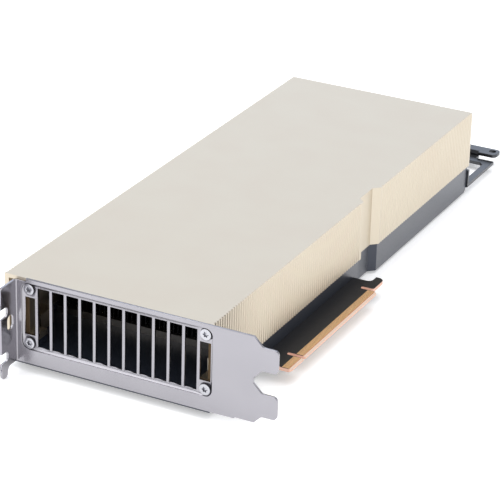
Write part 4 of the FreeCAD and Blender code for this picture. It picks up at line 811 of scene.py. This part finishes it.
@dataclass
class Card:
    """The card: its nodes in their finishes, its rounded sheets and its small screws."""

    frame: dict
    materials: dict[Finish, bpy.types.Material] = field(default_factory=dict)

    def finish(self, kind: Finish) -> bpy.types.Material:
        """Give the material of a finish, which is made once.

        Args:
            kind: the finish.

        Returns:
            Its material.
        """
        if kind not in self.materials:
            self.materials[kind] = kind.value.build()
        return self.materials[kind]

    def dress(self, node: str, material: bpy.types.Material) -> None:
        """Give a node its material.

        Args:
            node: the node's name.
            material: the material for all its faces.
        """
        slots = self.frame["nodes"][node].data.materials
        if len(slots) == 0:
            slots.append(material)
        for index in range(len(slots)):
            slots[index] = material
        LOG.info("%s is dressed in %s", node, material.name)

    def dress_nodes(self) -> None:
        """Dress every node of the frame."""
        for kind, nodes in DRESSED.items():
            for node in nodes:
                self.dress(node, self.finish(kind))
        tip_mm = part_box("circuit_board")[1][0] / MM
        self.dress("circuit_board", SolderMask(tip_mm).build())

    def round_edges(self) -> None:
        """Round the rims of the bracket and of the extender."""
        for sheet in (
            RoundedSheet("io_bracket", "io_bracket_rounded",
                         (Side((0, -1, 0), 150.285), Side((1, 0, 0), -57.025))),
            RoundedSheet("rear_extender", "rear_extender_rounded",
                         (Side((0, 0, 1), 4.95), Side((0, 0, 1), 7.35))),
        ):
            sheet.build(self.frame)

    def make_screws(self) -> None:
        """Make the small screws beside the grille, on the underside and at the far end."""
        for screws, slot in (
            (SmallScrews("bracket_screws", "bracket_screw_set", Finish.SCREW, (0, -1, 0),
                         flush=True, head_mm=4.9, shank_mm=2.5, recess_mm=2.8,
                         recess_depth_mm=1.2), "screw_steel"),
            (SmallScrews("backplate_screws", "backplate_screw_set", Finish.DARK_SCREW,
                         (0, 0, -1), flush=True), "screw_black"),
            (SmallScrews("extender_screws", "extender_screw_set", Finish.SCREW, (0, 1, 0),
                         flush=False), "screw_steel"),
        ):
            piece = screws.build(self.frame)
            piece.data.materials.clear()
            piece.data.materials.append(self.finish(screws.finish))
            LOG.info("%s stands for %s", piece.name, screws.node)


@dataclass(frozen=True)
class SoftLight:
    """One large lamp: where it stands and its size, both in metres, and its power in watts."""

    name: str
    place_m: tuple[float, float, float]
    size_m: tuple[float, float]
    power: float
    colour: str = "FFFFFF"

    def build(self, target: Vector) -> None:
        """Add the lamp, turned to a target.

        Args:
            target: the point that the lamp looks at.
        """
        data = bpy.data.lights.new(self.name, "AREA")
        data.shape = "RECTANGLE"
        data.size, data.size_y = self.size_m
        data.energy = self.power
        data.color = srgb(self.colour)[:3]
        lamp = bpy.data.objects.new(self.name, data)
        bpy.context.collection.objects.link(lamp)
        lamp.location = self.place_m
        lamp.rotation_euler = (target - lamp.location).to_track_quat("-Z", "Y").to_euler()


@dataclass(frozen=True)
class Studio:
    """Pale floor, soft lamps and the photograph's camera."""

    azimuth_deg: float = 26.55
    elevation_deg: float = 24.55
    roll_deg: float = 1.59
    distance_mm: float = 1087.07
    aim_mm: tuple[float, float, float] = (-18.581, -14.477, 9.83)
    lens_mm: float = 172.99
    sensor_mm: float = 36.0
    clip_start_m: float = 0.01
    floor_m: float = 6.0
    # Back-lit white acrylic: flat white without a highlight, in which shadows are nearly lost.
    floor: Moulding = Moulding("light_table_acrylic", "F6F6F6", "F4F4F4", roughness=0.9,
                               texture_mm=3.0, relief=0.02, glow=0.38)
    sky: str = "F1F3F8"
    sky_strength: float = 0.74
    target_m: tuple[float, float, float] = (0.0, 0.0, 0.02)
    lamps: tuple[SoftLight, ...] = (
        SoftLight("key_left", (-0.9, -0.9, 1.3), (1.8, 1.8), 15.0),
        SoftLight("back_left", (-0.9, 1.8, 0.9), (2.4, 1.2), 9.5, "D6E6FF"),
        SoftLight("low_right", (0.9, -1.2, 0.5), (1.2, 0.8), 4.0),
        SoftLight("top", (0.0, 0.0, 1.7), (1.6, 1.6), 15.5),
    )

    def build_floor(self) -> None:
        """Add the floor that the card stands on."""
        deselect()
        bpy.ops.mesh.primitive_plane_add(size=self.floor_m)
        floor = bpy.context.active_object
        floor.name = "studio_floor"
        floor.data.materials.append(self.floor.build())

    def build_sky(self) -> None:
        """Light the room evenly from all round."""
        world = bpy.data.worlds.new("studio_sky")
        world.use_nodes = True
        background = world.node_tree.nodes["Background"]
        background.inputs["Color"].default_value = srgb(self.sky)
        background.inputs["Strength"].default_value = self.sky_strength
        bpy.context.scene.world = world

    def build_camera(self) -> None:
        """Stand the camera where the photograph was taken from."""
        azimuth, elevation = math.radians(self.azimuth_deg), math.radians(self.elevation_deg)
        back = Vector((math.sin(azimuth) * math.cos(elevation),
                       -math.cos(azimuth) * math.cos(elevation), math.sin(elevation)))
        right = Vector((math.cos(azimuth), math.sin(azimuth), 0))
        turn = Matrix((right, back.cross(right), back)).transposed()
        data = bpy.data.cameras.new("product_camera")
        data.sensor_width = self.sensor_mm
        data.lens = self.lens_mm
        data.clip_start = self.clip_start_m
        camera = bpy.data.objects.new("product_camera", data)
        bpy.context.collection.objects.link(camera)
        roll = Matrix.Rotation(math.radians(self.roll_deg), 3, "Z")
        camera.matrix_world = (turn @ roll).to_4x4()
        camera.location = Vector(self.aim_mm) * MM + back * self.distance_mm * MM
        bpy.context.scene.camera = camera

    def build(self) -> None:
        """Build floor, sky, lamps and camera."""
        self.build_floor()
        self.build_sky()
        for lamp in self.lamps:
            lamp.build(Vector(self.target_m))
        self.build_camera()
        bpy.context.scene.view_settings.view_transform = "Standard"
        LOG.info("studio is ready")


def main() -> None:
    """Load the frame, dress it, round its sheets, and add the screws and the studio."""
    logging.basicConfig(level=logging.INFO, format="%(name)s: %(message)s")
    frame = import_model()
    card = Card(frame)
    card.dress_nodes()
    card.round_edges()
    card.make_screws()
    Studio().build()


if __name__ == "__main__":
    main()
